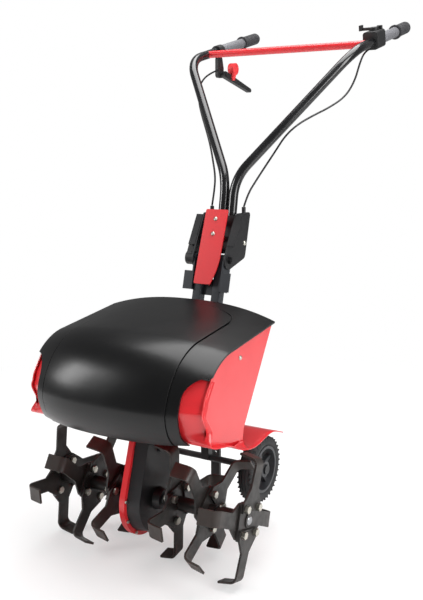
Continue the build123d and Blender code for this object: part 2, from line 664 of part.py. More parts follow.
with BuildPart() as lower_column:
    with BuildSketch(leg_plane(-20)):
        with Locations((-LEG_X, 0), (LEG_X, 0)):
            RectangleRounded(LEG_WIDTH, LEG_DEPTH, 3)
            RectangleRounded(LEG_WIDTH - 2 * LEG_WALL, LEG_DEPTH - 2 * LEG_WALL, 1, mode=Mode.SUBTRACT)
    extrude(amount=leg_length + 20 + LEG_PAST_PIVOT)
    with BuildSketch(Plane.XY.offset(DECK_Z - 60)):
        with Locations((0, LEG_FOOT[0])):
            Rectangle(160, 120)
    extrude(amount=DECK_THICKNESS + 60, mode=Mode.SUBTRACT)
    with BuildSketch(Plane.XY.offset(engine_floor)):
        with Locations((0, LEG_FOOT[0] + 1)):
            RectangleRounded(104, 40, 4)
    extrude(amount=5)
    # web between the legs
    with BuildSketch(leg_plane(leg_length - 90)):
        Rectangle(2 * LEG_X - LEG_WIDTH + 1, 4)
    extrude(amount=40)
    # ears beside the legs, with a stiffening flange at the front
    for side in (-1, 1):
        middle = side * (EAR_OUTSIDE - EAR_THICKNESS / 2)
        with BuildSketch(leg_plane(leg_length - 80, middle)):
            Rectangle(EAR_THICKNESS, 36)
        extrude(amount=80 + LEG_PAST_PIVOT)
        with BuildSketch(leg_plane(leg_length - 80, side * (EAR_OUTSIDE + 10))):
            with Locations((0, -16.5)):
                Rectangle(24, 3)
        extrude(amount=46)
    with BuildSketch(side_plane(-EAR_OUTSIDE - 2)):
        with Locations(PIVOT):
            Circle(PIVOT_DIAMETER / 2 + RUNNING)
    extrude(amount=2 * EAR_OUTSIDE + 4, mode=Mode.SUBTRACT)
    # tops rounded about the pivot, so the cover clears them while the bars fold
    with BuildSketch(side_plane(-EAR_OUTSIDE - 2)) as above_pivot:
        with Locations((PIVOT[0], PIVOT[1] + 30)):
            Rectangle(80, 60)
        with Locations(PIVOT):
            Circle(15, mode=Mode.SUBTRACT)
    extrude(amount=2 * EAR_OUTSIDE + 4, mode=Mode.SUBTRACT)

# ---- handlebar: bracket, cover, tubes --------------------------------------------------------------
BRACKET_THICKNESS = 4
BRACKET_INSIDE = EAR_OUTSIDE + 2 * SLIDING
BRACKET_OUTSIDE = BRACKET_INSIDE + BRACKET_THICKNESS
tube_lean = atan2(TUBE_KINK[1] - TUBE_LOW[1], TUBE_KINK[2] - TUBE_LOW[2])
tube_up = (0, sin(tube_lean), cos(tube_lean))
BRACKET_TOP = 766
WEB_THICKNESS = 4
FERRULE_Y = 361
LEVER_BORE = 15                    # how far the pivot bolt reaches into the locking lever


def tube_plane(z, ahead):
    """Plane square to the tubes' lower run, its origin ahead of them by some distance."""
    y = TUBE_LOW[1] + (z - TUBE_LOW[2]) * tube_up[1] / tube_up[2]
    return Plane((0, y - ahead / tube_up[2], z), x_dir=(1, 0, 0), z_dir=tube_up)


with BuildPart() as upper_bracket:
    for side in (-1, 1):
        start = BRACKET_INSIDE if side > 0 else -BRACKET_OUTSIDE
        with BuildSketch(side_plane(start)) as cheek:
            with BuildLine():
                CenterArc(PIVOT, 23, 0, 360)
                CenterArc((326, BRACKET_TOP - 8), 8, 0, 360)
                CenterArc((384, BRACKET_TOP - 8), 8, 0, 360)
                CenterArc((354, 664), 14, 0, 360)
            make_hull()
        extrude(amount=BRACKET_THICKNESS)
        # outward flange along the front edge
        with BuildSketch(side_plane(start)):
            with BuildLine():
                Polyline((277, 690), (318.5, 762), (322, 760), (280.5, 688), close=True)
            make_face()
        extrude(amount=side * 22 + (BRACKET_THICKNESS if side < 0 else 0))
        with BuildSketch(Plane.XY.offset(BRACKET_TOP - 2)):
            with Locations((side * (BRACKET_OUTSIDE - 2), FERRULE_Y)):
                Circle(5)
        extrude(amount=16)
    # web that the tubes are bolted to
    with BuildSketch(tube_plane(676, TUBE_DIAMETER / 2 + WEB_THICKNESS / 2)):
        Rectangle(2 * BRACKET_INSIDE + 2, WEB_THICKNESS)
    extrude(amount=84)
    # pivot bolt, welded to the cheeks; its left end carries the locking lever, its right end a nut
    with BuildSketch(side_plane(-BRACKET_OUTSIDE - LEVER_BORE)):
        with Locations(PIVOT):
            Circle(PIVOT_DIAMETER / 2)
    extrude(amount=2 * BRACKET_OUTSIDE + LEVER_BORE + 10)
    with BuildSketch(side_plane(BRACKET_OUTSIDE)):
        with Locations(PIVOT):
            RegularPolygon(9, 6)
    extrude(amount=8)

COVER_THICKNESS, COVER_WIDTH = 3, 62
COVER_LOW, COVER_HIGH = (244, 598), (308, 776)
cover_lean = atan2(COVER_HIGH[0] - COVER_LOW[0], COVER_HIGH[1] - COVER_LOW[1])
cover_plane = Plane((0, *COVER_LOW), x_dir=(1, 0, 0), z_dir=(0, -cos(cover_lean), sin(cover_lean)))
cover_length = hypot(COVER_HIGH[0] - COVER_LOW[0], COVER_HIGH[1] - COVER_LOW[1])
with BuildPart() as column_cover:
    with BuildSketch(cover_plane) as face:
        half = COVER_WIDTH / 2
        with BuildLine():
            Polyline(
                (-half, 0), (half - 16, 0), (half - 5, 34), (half, 62),
                (half, cover_length), (-half, cover_length), close=True,
            )
        make_face()
        fillet(face.vertices(), radius=4)
    extrude(amount=-COVER_THICKNESS)
    with BuildSketch(cover_plane.offset(-COVER_THICKNESS)):
        with Locations((0, cover_length - 24), (0, cover_length - 62)):
            Circle(7)
    extrude(amount=-80)
    # the standoffs end at the bracket's web
    with BuildSketch(Plane(
        tube_plane(720, TUBE_DIAMETER / 2 + WEB_THICKNESS).origin,
        x_dir=(1, 0, 0), z_dir=(0, tube_up[2], -tube_up[1]),
    )):
        Rectangle(60, 300)
    extrude(amount=100, mode=Mode.SUBTRACT)


def handle_tube(side):
    """Bent tube from the bracket to the grip."""
    points = [(side * x, y, z) for x, y, z in (TUBE_LOW, TUBE_KINK, TUBE_SHOULDER, TUBE_END)]
    with BuildPart() as tube:
        with BuildLine() as path:
            FilletPolyline(*points, radius=TUBE_BEND_RADIUS)
        with BuildSketch(Plane(path.line @ 0, z_dir=path.line % 0)):
            Circle(TUBE_DIAMETER / 2)
            Circle(TUBE_DIAMETER / 2 - TUBE_WALL, mode=Mode.SUBTRACT)
        sweep()
    return tube


handle_tube_left = handle_tube(-1)
handle_tube_right = handle_tube(1)

grip_rise = atan2(TUBE_END[2] - TUBE_SHOULDER[2], TUBE_END[1] - TUBE_SHOULDER[1])
grip_out = (0, cos(grip_rise), sin(grip_rise))


def bar_plane(side, y):
    """Plane square to the tube's last run at y; its own +y points down."""
    z = TUBE_SHOULDER[2] + (y - TUBE_SHOULDER[1]) * tan(grip_rise)
    return Plane((side * TUBE_SHOULDER[0], y, z), x_dir=(1, 0, 0), z_dir=grip_out)


def solid_rod(side):
    with BuildPart() as rod:
        with BuildSketch(bar_plane(side, CROSSBAR_Y - 40)):
            Circle(TUBE_DIAMETER / 2)
        extrude(amount=80)
    return rod.part


crossbar_z = bar_plane(1, CROSSBAR_Y).origin.Z
with BuildPart() as crossbar:
    with BuildSketch(side_plane(-TUBE_SHOULDER[0])):
        with Locations((CROSSBAR_Y, crossbar_z)):
            Circle(CROSSBAR_DIAMETER / 2)
    extrude(amount=2 * TUBE_SHOULDER[0])
    add(solid_rod(-1), mode=Mode.SUBTRACT)
    add(solid_rod(1), mode=Mode.SUBTRACT)


def grip(side):
    """Hand grip with a collar at its inner end and a closed outer end."""
    start = TUBE_END[1] - GRIP_LENGTH * grip_out[1] + 7
    with BuildPart() as rubber:
        with BuildSketch(bar_plane(side, start)):
            Circle(GRIP_DIAMETER / 2)
        extrude(amount=GRIP_LENGTH)
        fillet(rubber.edges().sort_by(Axis.Y)[-1], radius=5)
        with BuildSketch(bar_plane(side, start)):
            Circle(GRIP_DIAMETER / 2 + 3)
        extrude(amount=5)
        with BuildSketch(bar_plane(side, start)):
            Circle(TUBE_DIAMETER / 2)
        extrude(amount=(TUBE_END[1] - start) / grip_out[1], mode=Mode.SUBTRACT)
    return rubber


grip_left = grip(-1)
grip_right = grip(1)

LEVER_INSIDE = BRACKET_OUTSIDE + SLIDING * 2
with BuildPart() as lock_lever:
    with BuildSketch(side_plane(-LEVER_INSIDE)):
        with Locations(PIVOT):
            Circle(17)
    extrude(amount=-22)
    with BuildSketch(side_plane(-LEVER_INSIDE - 6)):
        with BuildLine():
            CenterArc(PIVOT, 13, 0, 360)
            CenterArc((PIVOT[0] + 38, PIVOT[1] + 86), 8, 0, 360)
        make_hull()
    extrude(amount=-16)
    with BuildSketch(side_plane(-LEVER_INSIDE)):
        with Locations(PIVOT):
            Circle(PIVOT_DIAMETER / 2 + RUNNING)
    extrude(amount=-LEVER_BORE, mode=Mode.SUBTRACT)

# ---- controls on the bars ----------------------------------------------------------------------
CLUTCH_Y, CLUTCH_WIDTH = 724, 26
CLUTCH_PIVOT = (746, 1142)
CLUTCH_PIN_RADIUS = 3
clutch_plate_x = -TUBE_SHOULDER[0]
with BuildPart() as clutch_bracket:
    with BuildSketch(bar_plane(-1, CLUTCH_Y)):
        Circle(TUBE_DIAMETER / 2 + 5)
        Circle(TUBE_DIAMETER / 2, mode=Mode.SUBTRACT)
    extrude(amount=CLUTCH_WIDTH)
    with BuildSketch(side_plane(clutch_plate_x - 4)) as plate:
        with BuildLine():
            Polyline((CLUTCH_Y, 1190.5), (CLUTCH_Y, 1132), (CLUTCH_Y + 34, 1132),
                     (CLUTCH_Y + 34, 1160), (CLUTCH_Y + 24, 1194), close=True)
        make_face()
        fillet(plate.vertices().group_by(Axis.Z)[0], radius=9)
    extrude(amount=10)
    with BuildSketch(side_plane(clutch_plate_x)):
        with Locations(CLUTCH_PIVOT):
            Circle(CLUTCH_PIN_RADIUS)
    extrude(amount=24)

LEVER_X, LEVER_WIDTH = clutch_plate_x + 6 + SLIDING, 14
LEVER_TIP = (903, 1104.5)
LATCH_PIVOT = (787, 1133)
with BuildPart() as clutch_lever:
    with BuildSketch(side_plane(LEVER_X)):
        with BuildLine():
            CenterArc(CLUTCH_PIVOT, 9, 0, 360)
            CenterArc(LEVER_TIP, 6, 0, 360)
        make_hull()
        with Locations(CLUTCH_PIVOT):
            Circle(CLUTCH_PIN_RADIUS + RUNNING, mode=Mode.SUBTRACT)
    extrude(amount=LEVER_WIDTH)
    with BuildSketch(side_plane(LEVER_X + LEVER_WIDTH)):
        with Locations(LATCH_PIVOT):
            Circle(2.5 + RUNNING)
    extrude(amount=-8, mode=Mode.SUBTRACT)
with BuildPart() as clutch_latch:
    with BuildSketch(side_plane(LEVER_X + LEVER_WIDTH + SLIDING)):
        with BuildLine():
            CenterArc(LATCH_PIVOT, 6.5, 0, 360)
            CenterArc((797, 1160), 10, 0, 360)
        make_hull()
    extrude(amount=5)
    with BuildSketch(side_plane(LEVER_X)) as ring:
        with Locations((798, 1161)):
            Circle(17.5)
            Circle(10, mode=Mode.SUBTRACT)
    extrude(amount=LEVER_WIDTH + 5 + SLIDING)
    with BuildSketch(side_plane(LEVER_X + LEVER_WIDTH + SLIDING)):
        with Locations(LATCH_PIVOT):
            Circle(2.5)
    extrude(amount=-7)

THROTTLE_Y, THROTTLE_LENGTH, THROTTLE_TOP = 694, 64, 27
housing_top = Plane(
    bar_plane(1, THROTTLE_Y).from_local_coords(Vector(-6, -THROTTLE_TOP, 40)),
    x_dir=(1, 0, 0), z_dir=(0, -sin(grip_rise), cos(grip_rise)),
)
with BuildPart() as throttle_housing:
    with BuildSketch(bar_plane(1, THROTTLE_Y)):
        with Locations((-3, -4)):
            RectangleRounded(40, THROTTLE_TOP + 19, 8)
        Circle(TUBE_DIAMETER / 2, mode=Mode.SUBTRACT)
    extrude(amount=THROTTLE_LENGTH)
    # stop switch
    with BuildSketch(housing_top):
        with Locations((10, 18.5)):
            RectangleRounded(14, 9, 2)
    extrude(amount=9)
with BuildPart() as throttle_lever:
    with BuildSketch(housing_top.offset(SLIDING)):
        Circle(13)
        with BuildLine():
            Polyline((0, -6), (-36, -4), (-36, 4), (0, 6), close=True)
        make_face()
    extrude(amount=7)
    with BuildSketch(housing_top.offset(SLIDING)):
        with Locations((-35, 0)):
            SlotOverall(20, 8, rotation=90)
    extrude(amount=14)
# cables: each route is chosen by hand
CLUTCH_ROUTE = [
    (-240, 722.5, 1152), (-241, 690, 1143), (-242, 644, 1122), (-226, 592, 1088),
    (-200, 552, 1048), (-166, 514, 1008), (-132, 480, 968), (-101, 447, 930),
    (-74, 414, 892), (-53, 390, 852), (-46, 372, 816), (-46, 361, 781),
]
THROTTLE_ROUTE = [
    (238, 697.3, 1182.3), (237, 664, 1172), (234, 640, 1142), (228, 624, 1096),
    (212, 602, 1056), (188, 558, 1028), (164, 508, 1006), (141, 468, 984),
    (117, 446, 956), (96, 434, 918), (76, 418, 880), (61, 396, 844), (50, 374, 812), (46, 361, 781),
]


def cable(route):
    """Sheathed cable: straight runs joined by arcs as large as the runs allow."""
    radii = []
    for before, corner, after in zip(route, route[1:], route[2:]):
        arriving, leaving = Vector(*corner) - Vector(*before), Vector(*after) - Vector(*corner)
        turn = radians(arriving.get_angle(leaving))
        radii.append(0.45 * min(arriving.length, leaving.length) / tan(turn / 2))
    print("cable bend radii", [round(r) for r in radii])
    with BuildPart() as sheath:
        with BuildLine() as path:
            FilletPolyline(*route, radius=radii)
        with BuildSketch(Plane(path.line @ 0, z_dir=path.line % 0)):
            Circle(CABLE_DIAMETER / 2)
        sweep()
    length = sum(edge.length for edge in path.edges())
    share = sheath.part.volume / (length * pi * CABLE_DIAMETER ** 2 / 4)
    print("cable length", round(length), "volume share", round(share, 3))
    return sheath


clutch_cable = cable(CLUTCH_ROUTE)
throttle_cable = cable(THROTTLE_ROUTE)

# ---- wheels and depth spur -----------------------------------------------------------------------
AXLE_COLLAR_RADIUS = 12
axle_radius = WHEEL_AXLE_DIAMETER / 2
wheel_inside = WHEEL_X - WHEEL_WIDTH / 2
wheel_outside = WHEEL_X + WHEEL_WIDTH / 2
RIM_WIDTH = 36
with BuildPart() as wheel_carrier:
    with BuildSketch(side_plane(-wheel_outside)):
        with Locations((WHEEL_Y, WHEEL_Z)):
            Circle(axle_radius)
    extrude(amount=2 * wheel_outside)
    for x in (wheel_outside - 2, -wheel_outside - 2):
        with BuildSketch(side_plane(x)):
            with Locations((WHEEL_Y, WHEEL_Z)):
                Circle(AXLE_COLLAR_RADIUS)
        extrude(amount=4)
    for x in (WHEEL_X - RIM_WIDTH / 2 - SLIDING - 6, -WHEEL_X + RIM_WIDTH / 2 + SLIDING):
        with BuildSketch(side_plane(x)):
            with Locations((WHEEL_Y, WHEEL_Z)):
                Circle(AXLE_COLLAR_RADIUS)
        extrude(amount=6)
    with BuildSketch(Plane.XY.offset(WHEEL_Z - 4)):
        with Locations((0, WHEEL_Y)):
            RectangleRounded(POST_SIZE, POST_SIZE, 2)
    extrude(amount=POST_TOP - WHEEL_Z + 4)


def rim(side):
    with BuildPart() as wheel:
        with BuildSketch(side_plane(side * WHEEL_X - RIM_WIDTH / 2)):
            with Locations((WHEEL_Y, WHEEL_Z)):
                Circle(TYRE_BORE_RADIUS)
                Circle(TYRE_BORE_RADIUS - 7, mode=Mode.SUBTRACT)
                Circle(RIM_HUB_RADIUS)
        extrude(amount=RIM_WIDTH)
        with BuildSketch(side_plane(side * WHEEL_X - 6)):
            with Locations((WHEEL_Y, WHEEL_Z)):
                with PolarLocations((TYRE_BORE_RADIUS - 4) / 2, 5, start_angle=90):
                    Rectangle(TYRE_BORE_RADIUS - 4, 10)
        extrude(amount=12)
        with BuildSketch(side_plane(side * WHEEL_X - RIM_WIDTH / 2)):
            with Locations((WHEEL_Y, WHEEL_Z)):
                Circle(axle_radius + RUNNING)
        extrude(amount=RIM_WIDTH, mode=Mode.SUBTRACT)
    return wheel


def tyre(side):
    half = WHEEL_WIDTH / 2 - 2 - 2 * SLIDING
    crown = WHEEL_RADIUS - 8
    with BuildPart() as rubber:
        with BuildSketch(Plane((side * WHEEL_X, WHEEL_Y, WHEEL_Z), x_dir=(1, 0, 0), z_dir=(0, -1, 0))):
            with BuildLine():
                Line((-half + 3, TYRE_BORE_RADIUS), (half - 3, TYRE_BORE_RADIUS))
                Line((half - 3, TYRE_BORE_RADIUS), (half, TYRE_BORE_RADIUS + 6))
                Line((half, TYRE_BORE_RADIUS + 6), (half, crown))
                ThreePointArc((half, crown), (0, WHEEL_RADIUS), (-half, crown))
                Line((-half, crown), (-half, TYRE_BORE_RADIUS + 6))
                Line((-half, TYRE_BORE_RADIUS + 6), (-half + 3, TYRE_BORE_RADIUS))
            make_face()
        revolve(axis=Axis((0, WHEEL_Y, WHEEL_Z), (1, 0, 0)))
    return rubber


wheel_rim_left, wheel_rim_right = rim(-1), rim(1)
tyre_left, tyre_right = tyre(-1), tyre(1)

SPUR_HOLE_PITCH = 26
with BuildPart() as depth_spur:
    with BuildSketch(Plane.XY):
        with Locations((0, SPUR_Y)):
            RectangleRounded(SPUR_WIDTH, SPUR_DEPTH, 1.5)
    extrude(amount=SPUR_TOP)
    with BuildSketch(Plane.XZ.offset(-SPUR_Y - SPUR_DEPTH)):
        with Locations(*[(0, 150 + SPUR_HOLE_PITCH * i) for i in range(4)]):
            Circle(4.5)
    extrude(amount=2 * SPUR_DEPTH, mode=Mode.SUBTRACT)

SCREW_RADIUS, SCREW_Z = 4, (HITCH_LOW + HITCH_HIGH) / 2
HITCH_HALF_WIDTH = 21
with BuildPart() as rear_hitch:
    with BuildSketch(Plane.XY.offset(HITCH_LOW)):
        with Locations((0, (WHEEL_Y + SPUR_Y) / 2)):
            Rectangle(2 * HITCH_HALF_WIDTH, SPUR_Y - WHEEL_Y + 46)
        with Locations((0, WHEEL_Y)):
            Rectangle(POST_SIZE + 2 * SLIDING, POST_SIZE + 2 * SLIDING, mode=Mode.SUBTRACT)
        with Locations((0, SPUR_Y)):
            Rectangle(SPUR_WIDTH + 2 * SLIDING, SPUR_DEPTH + 2 * SLIDING, mode=Mode.SUBTRACT)
    extrude(amount=HITCH_HIGH - HITCH_LOW)
    # spine under the deck, up to the chain case
    with BuildSketch(Plane.XY.offset(HITCH_LOW + 10)):
        with Locations((0, 154)):
            Rectangle(20, 156)
    extrude(amount=DECK_Z - HITCH_LOW - 10)
    with BuildSketch(side_plane(5)):
        with Locations((WHEEL_Y, SCREW_Z), (SPUR_Y, SCREW_Z)):
            Circle(SCREW_RADIUS)
    extrude(amount=40, mode=Mode.SUBTRACT)

with BuildPart() as clamp_screws:
    for y, tip in ((WHEEL_Y, POST_SIZE / 2), (SPUR_Y, SPUR_WIDTH / 2)):
        with BuildSketch(side_plane(tip + SLIDING)):
            with Locations((y, SCREW_Z)):
                Circle(SCREW_RADIUS)
        extrude(amount=48 - tip)
        with BuildSketch(Plane.XZ.offset(-y - 3.5)):
            with Locations((46, SCREW_Z)):
                SlotOverall(38, 8, rotation=60)
        extrude(amount=7)

# ---- tine stars ----------------------------------------------------------------------------------


def radial(phi):
    return (0, cos(radians(phi)), sin(radians(phi)))


def blade(face_x, phi, side, bend):
    """One blade on the side face of its plate, pointing away from the axle at phi."""
    out = Vector(*radial(phi))
    plane = Plane((face_x, 0, AXLE_Z), x_dir=out.cross(Vector(side, 0, 0)), z_dir=(side, 0, 0))
    lean = side * BLADE_LEAN
    half = BLADE_WIDTH / 2
    root = PLATE_SIZE / 2 - 3
    bolt = BOLT_SQUARE / 2
    turn = radians(BEND_ANGLE)
    hinge = BLADE_THICKNESS + BEND_RADIUS if bend > 0 else -BEND_RADIUS
    arm = BEND_RADIUS + BLADE_THICKNESS / 2
    foot_out = plane.y_dir * cos(turn) + plane.z_dir * (bend * sin(turn))
    foot_start = plane.from_local_coords(
        Vector(lean, BLADE_REACH + arm * sin(turn), hinge - bend * arm * cos(turn)))
    with BuildPart() as steel:
        with BuildSketch(plane):
            with BuildLine():
                Polyline(
                    (-root, 18), (root, 18), (root, bolt + 12), (half + 0.3 * lean, 68),
                    (half + lean, BLADE_REACH), (-half + lean, BLADE_REACH),
                    (-half + 0.3 * lean, 68), (-root, bolt + 12), close=True,
                )
            make_face()
            with Locations((-bolt, bolt), (bolt, bolt)):
                Circle(STAR_BOLT_DIAMETER / 2 + SEAM, mode=Mode.SUBTRACT)
        extrude(amount=BLADE_THICKNESS)
        with BuildSketch(Plane(plane.from_local_coords(Vector(lean, BLADE_REACH, 0)),
                               x_dir=plane.x_dir, z_dir=plane.y_dir)):
            with Locations((0, -BLADE_THICKNESS / 2)):
                Rectangle(BLADE_WIDTH, BLADE_THICKNESS)
        revolve(axis=Axis(plane.from_local_coords(Vector(lean, BLADE_REACH, hinge)),
                          plane.x_dir * bend), revolution_arc=BEND_ANGLE)
        with BuildSketch(Plane(foot_start, x_dir=plane.x_dir, z_dir=foot_out)):
            Rectangle(BLADE_WIDTH, BLADE_THICKNESS)
        extrude(amount=FOOT_LENGTH)
    return steel.part


def star_blades(stars):
    """Blades of some stars; each star is (x, phase, True when every blade bends inwards)."""
    with BuildPart() as blades:
        for x, phase, inwards in stars:
            outer = 1 if x > 0 else -1
            for quarter in range(4):
                side = 1 if quarter % 2 == 0 else -1
                bend = -side * outer if inwards else 1
                add(blade(x + side * PLATE_THICKNESS / 2, phase + 90 * quarter, side, bend))
    return blades


HUB_SLEEVES = ((46, 178), (182, STAR_PLACES[2] + 5))


def star_hub(side, sleeve, stars):
    """Hub tube with the plates welded to it."""
    start = sleeve[0] if side > 0 else -sleeve[1]
    with BuildPart() as hub:
        with BuildSketch(side_plane(start)):
            with Locations((0, AXLE_Z)):
                Circle(HUB_DIAMETER / 2)
        extrude(amount=sleeve[1] - sleeve[0])
        for x, phase in stars:
            with BuildSketch(side_plane(x - PLATE_THICKNESS / 2)):
                with Locations(Location((0, AXLE_Z), phase)):
                    RectangleRounded(PLATE_SIZE, PLATE_SIZE, 8)
                    with GridLocations(BOLT_SQUARE, BOLT_SQUARE, 2, 2):
                        Circle(STAR_BOLT_DIAMETER / 2 + SEAM, mode=Mode.SUBTRACT)
            extrude(amount=PLATE_THICKNESS)
        with BuildSketch(side_plane(start)):
            with Locations((0, AXLE_Z)):
                Circle(SHAFT_DIAMETER / 2)
        extrude(amount=sleeve[1] - sleeve[0], mode=Mode.SUBTRACT)
        with BuildSketch(Plane.XY.offset(AXLE_Z - HUB_DIAMETER)):
            with Locations(*[(side * place, 0) for place in PIN_PLACES]):
                Circle(PIN_RADIUS + RUNNING)
        extrude(amount=2 * HUB_DIAMETER, mode=Mode.SUBTRACT)
    return hub


right = list(zip(STAR_PLACES, STAR_PHASES_RIGHT))
left = [(-x, phase) for x, phase in zip(STAR_PLACES, STAR_PHASES_LEFT)]
tine_hub_inner_right = star_hub(1, HUB_SLEEVES[0], right[:2])
tine_hub_inner_left = star_hub(-1, HUB_SLEEVES[0], left[:2])
tine_hub_outer_right = star_hub(1, HUB_SLEEVES[1], right[2:])
tine_hub_outer_left = star_hub(-1, HUB_SLEEVES[1], left[2:])
tine_blades_inner_right = star_blades([(*star, False) for star in right[:2]])
tine_blades_inner_left = star_blades([(*star, False) for star in left[:2]])
tine_blades_outer_right = star_blades([(*star, True) for star in right[2:]])
tine_blades_outer_left = star_blades([(*star, True) for star in left[2:]])

bolt_grip = PLATE_THICKNESS / 2 + BLADE_THICKNESS
with BuildPart() as star_bolts:
    for x, phase in right + left:
        for corner in range(4):
            y, z = [BOLT_SQUARE / 2 * 2 ** 0.5 * c for c in radial(phase + 45 + 90 * corner)[1:]]
            for near, length, radius in (
                (-bolt_grip - 6, 6, 9), (-bolt_grip, 2 * bolt_grip, STAR_BOLT_DIAMETER / 2),
                (bolt_grip, 8, 9),
            ):
                with BuildSketch(side_plane(x + (near if x > 0 else -near - length))):
                    with Locations((y, AXLE_Z + z)):
                        if radius > STAR_BOLT_DIAMETER / 2:
                            RegularPolygon(radius, 6)
                        else:
                            Circle(radius)
                extrude(amount=length)

with BuildPart() as hub_pins:
    with BuildSketch(Plane.XY.offset(AXLE_Z - HUB_DIAMETER / 2 - 4)):
        with Locations(*[(side * place, 0) for place in PIN_PLACES for side in (-1, 1)]):
            Circle(PIN_RADIUS)
    extrude(amount=HUB_DIAMETER + 8)

# ---- placing and writing ---------------------------------------------------------------------------
front_reach = -HOOD_NOSE[0] + PANEL_PROUD
rear_reach = grip_right.part.bounding_box().max.Y
TO_FOOTPRINT = Location((0, (front_reach - rear_reach) / 2, 0))

pieces = {
    "engine_deck": engine_deck, "chain_case_left": chain_case_left,
    "chain_case_right": chain_case_right, "case_bolts": case_bolts, "body_pan": body_pan,
    "hood_cover": hood_cover, "hood_panel": hood_panel, "crankcase": crankcase,
    "cylinder": cylinder, "recoil_housing": recoil_housing, "recoil_handle": recoil_handle,
    "muffler": muffler, "fuel_tank": fuel_tank, "fuel_cap": fuel_cap, "air_filter": air_filter,
    "lower_column": lower_column, "rear_hitch": rear_hitch, "clamp_screws": clamp_screws,
    "v_belt": v_belt, "chain_lower": chain_lower, "chain_upper": chain_upper,
    "tine_shaft": tine_shaft, "tine_sprocket": tine_sprocket,
    "tine_hub_inner_left": tine_hub_inner_left, "tine_hub_inner_right": tine_hub_inner_right,
    "tine_hub_outer_left": tine_hub_outer_left, "tine_hub_outer_right": tine_hub_outer_right,
    "tine_blades_inner_left": tine_blades_inner_left,
    "tine_blades_inner_right": tine_blades_inner_right,
    "tine_blades_outer_left": tine_blades_outer_left,
    "tine_blades_outer_right": tine_blades_outer_right,
    "star_bolts": star_bolts, "hub_pins": hub_pins, "middle_shaft": middle_shaft,
    "input_shaft": input_shaft, "driven_pulley": driven_pulley, "drive_pulley": drive_pulley,
    "idler_arm": idler_arm, "idler_pulley": idler_pulley,
    "handle_tube_left": handle_tube_left, "handle_tube_right": handle_tube_right,
    "crossbar": crossbar, "grip_left": grip_left, "grip_right": grip_right,
    "upper_bracket": upper_bracket, "column_cover": column_cover, "lock_lever": lock_lever,
    "throttle_housing": throttle_housing, "throttle_lever": throttle_lever,
    "clutch_bracket": clutch_bracket, "clutch_lever": clutch_lever, "clutch_latch": clutch_latch,
    "clutch_cable": clutch_cable, "throttle_cable": throttle_cable,
    "wheel_carrier": wheel_carrier, "wheel_rim_left": wheel_rim_left,
    "wheel_rim_right": wheel_rim_right, "tyre_left": tyre_left, "tyre_right": tyre_right,
    "depth_spur": depth_spur,
}
for name, piece in pieces.items():
    finished = piece.part.moved(TO_FOOTPRINT)
    finished.label = name
    export_step(finished, f"parts/{name}.step")
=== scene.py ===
# %% [markdown]
# # A garden tiller
# The imported model is the fixed frame of this scene: every piece below is placed from it, in metres.
# X runs along the tine axle, +Y points back to the grips and +Z is up.

# %% Load the frame
import bpy
import bmesh
import json
import math
from mathutils import Matrix, Vector

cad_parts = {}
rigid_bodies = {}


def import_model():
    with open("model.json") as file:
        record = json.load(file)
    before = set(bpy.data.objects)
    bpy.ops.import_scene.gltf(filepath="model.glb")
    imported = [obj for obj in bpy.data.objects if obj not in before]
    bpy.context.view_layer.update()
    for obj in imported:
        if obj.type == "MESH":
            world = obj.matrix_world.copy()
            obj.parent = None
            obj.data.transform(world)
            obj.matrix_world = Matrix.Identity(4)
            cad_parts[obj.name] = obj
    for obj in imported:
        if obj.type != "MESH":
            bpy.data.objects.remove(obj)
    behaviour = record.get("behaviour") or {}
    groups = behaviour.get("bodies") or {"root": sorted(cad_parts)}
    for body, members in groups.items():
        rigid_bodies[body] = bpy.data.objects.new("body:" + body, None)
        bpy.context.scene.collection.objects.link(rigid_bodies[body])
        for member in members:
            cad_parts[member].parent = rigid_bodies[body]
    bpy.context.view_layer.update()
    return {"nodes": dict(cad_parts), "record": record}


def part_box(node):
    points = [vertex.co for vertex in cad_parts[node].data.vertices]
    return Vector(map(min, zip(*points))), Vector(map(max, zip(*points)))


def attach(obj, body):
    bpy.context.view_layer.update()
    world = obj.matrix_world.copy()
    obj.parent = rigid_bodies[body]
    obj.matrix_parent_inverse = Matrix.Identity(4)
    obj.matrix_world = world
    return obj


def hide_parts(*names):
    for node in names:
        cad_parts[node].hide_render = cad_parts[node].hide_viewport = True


for leftover in list(bpy.data.objects):
    bpy.data.objects.remove(leftover)
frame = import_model()
nodes = frame["nodes"]

# %% Where the main lines of the machine are
axle_low, axle_high = [Vector(p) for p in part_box("tine_shaft")]
AXLE = (axle_low + axle_high) / 2
SHIFT = AXLE.y
print("tine axle", tuple(round(v, 4) for v in AXLE))


def mm(x, y, z):
    """A point given in millimetres from the ground under the tine axle."""
    return Vector((x / 1000, SHIFT + y / 1000, z / 1000))


# %% [markdown]
# ## Finishes
# A painted or moulded surface is never one flat colour. Each material here starts from what the real
# one is, and adds what the eye finds on it: the faint waviness of sprayed enamel, the speckle of a
# powder coat, the grain of a sand casting, soil rubbed on the tine tips. Patterns read Object
# coordinates, so their scale is in real millimetres.

# %% Small helpers for materials
def colour(code, alpha=1.0):
    """sRGB hex to linear RGBA."""
    parts = [int(code[i:i + 2], 16) / 255 for i in (1, 3, 5)]
    return [c / 12.92 if c <= 0.04045 else ((c + 0.055) / 1.055) ** 2.4 for c in parts] + [alpha]


def put(tree, kind, inputs=None, **settings):
    """Adds a node with its settings; an input is either a value or another node's output."""
    made = tree.nodes.new(kind)
    for key, value in settings.items():
        setattr(made, key, value)
    for key, value in (inputs or {}).items():
        if isinstance(value, bpy.types.NodeSocket):
            tree.links.new(value, made.inputs[key])
        else:
            made.inputs[key].default_value = value
    return made


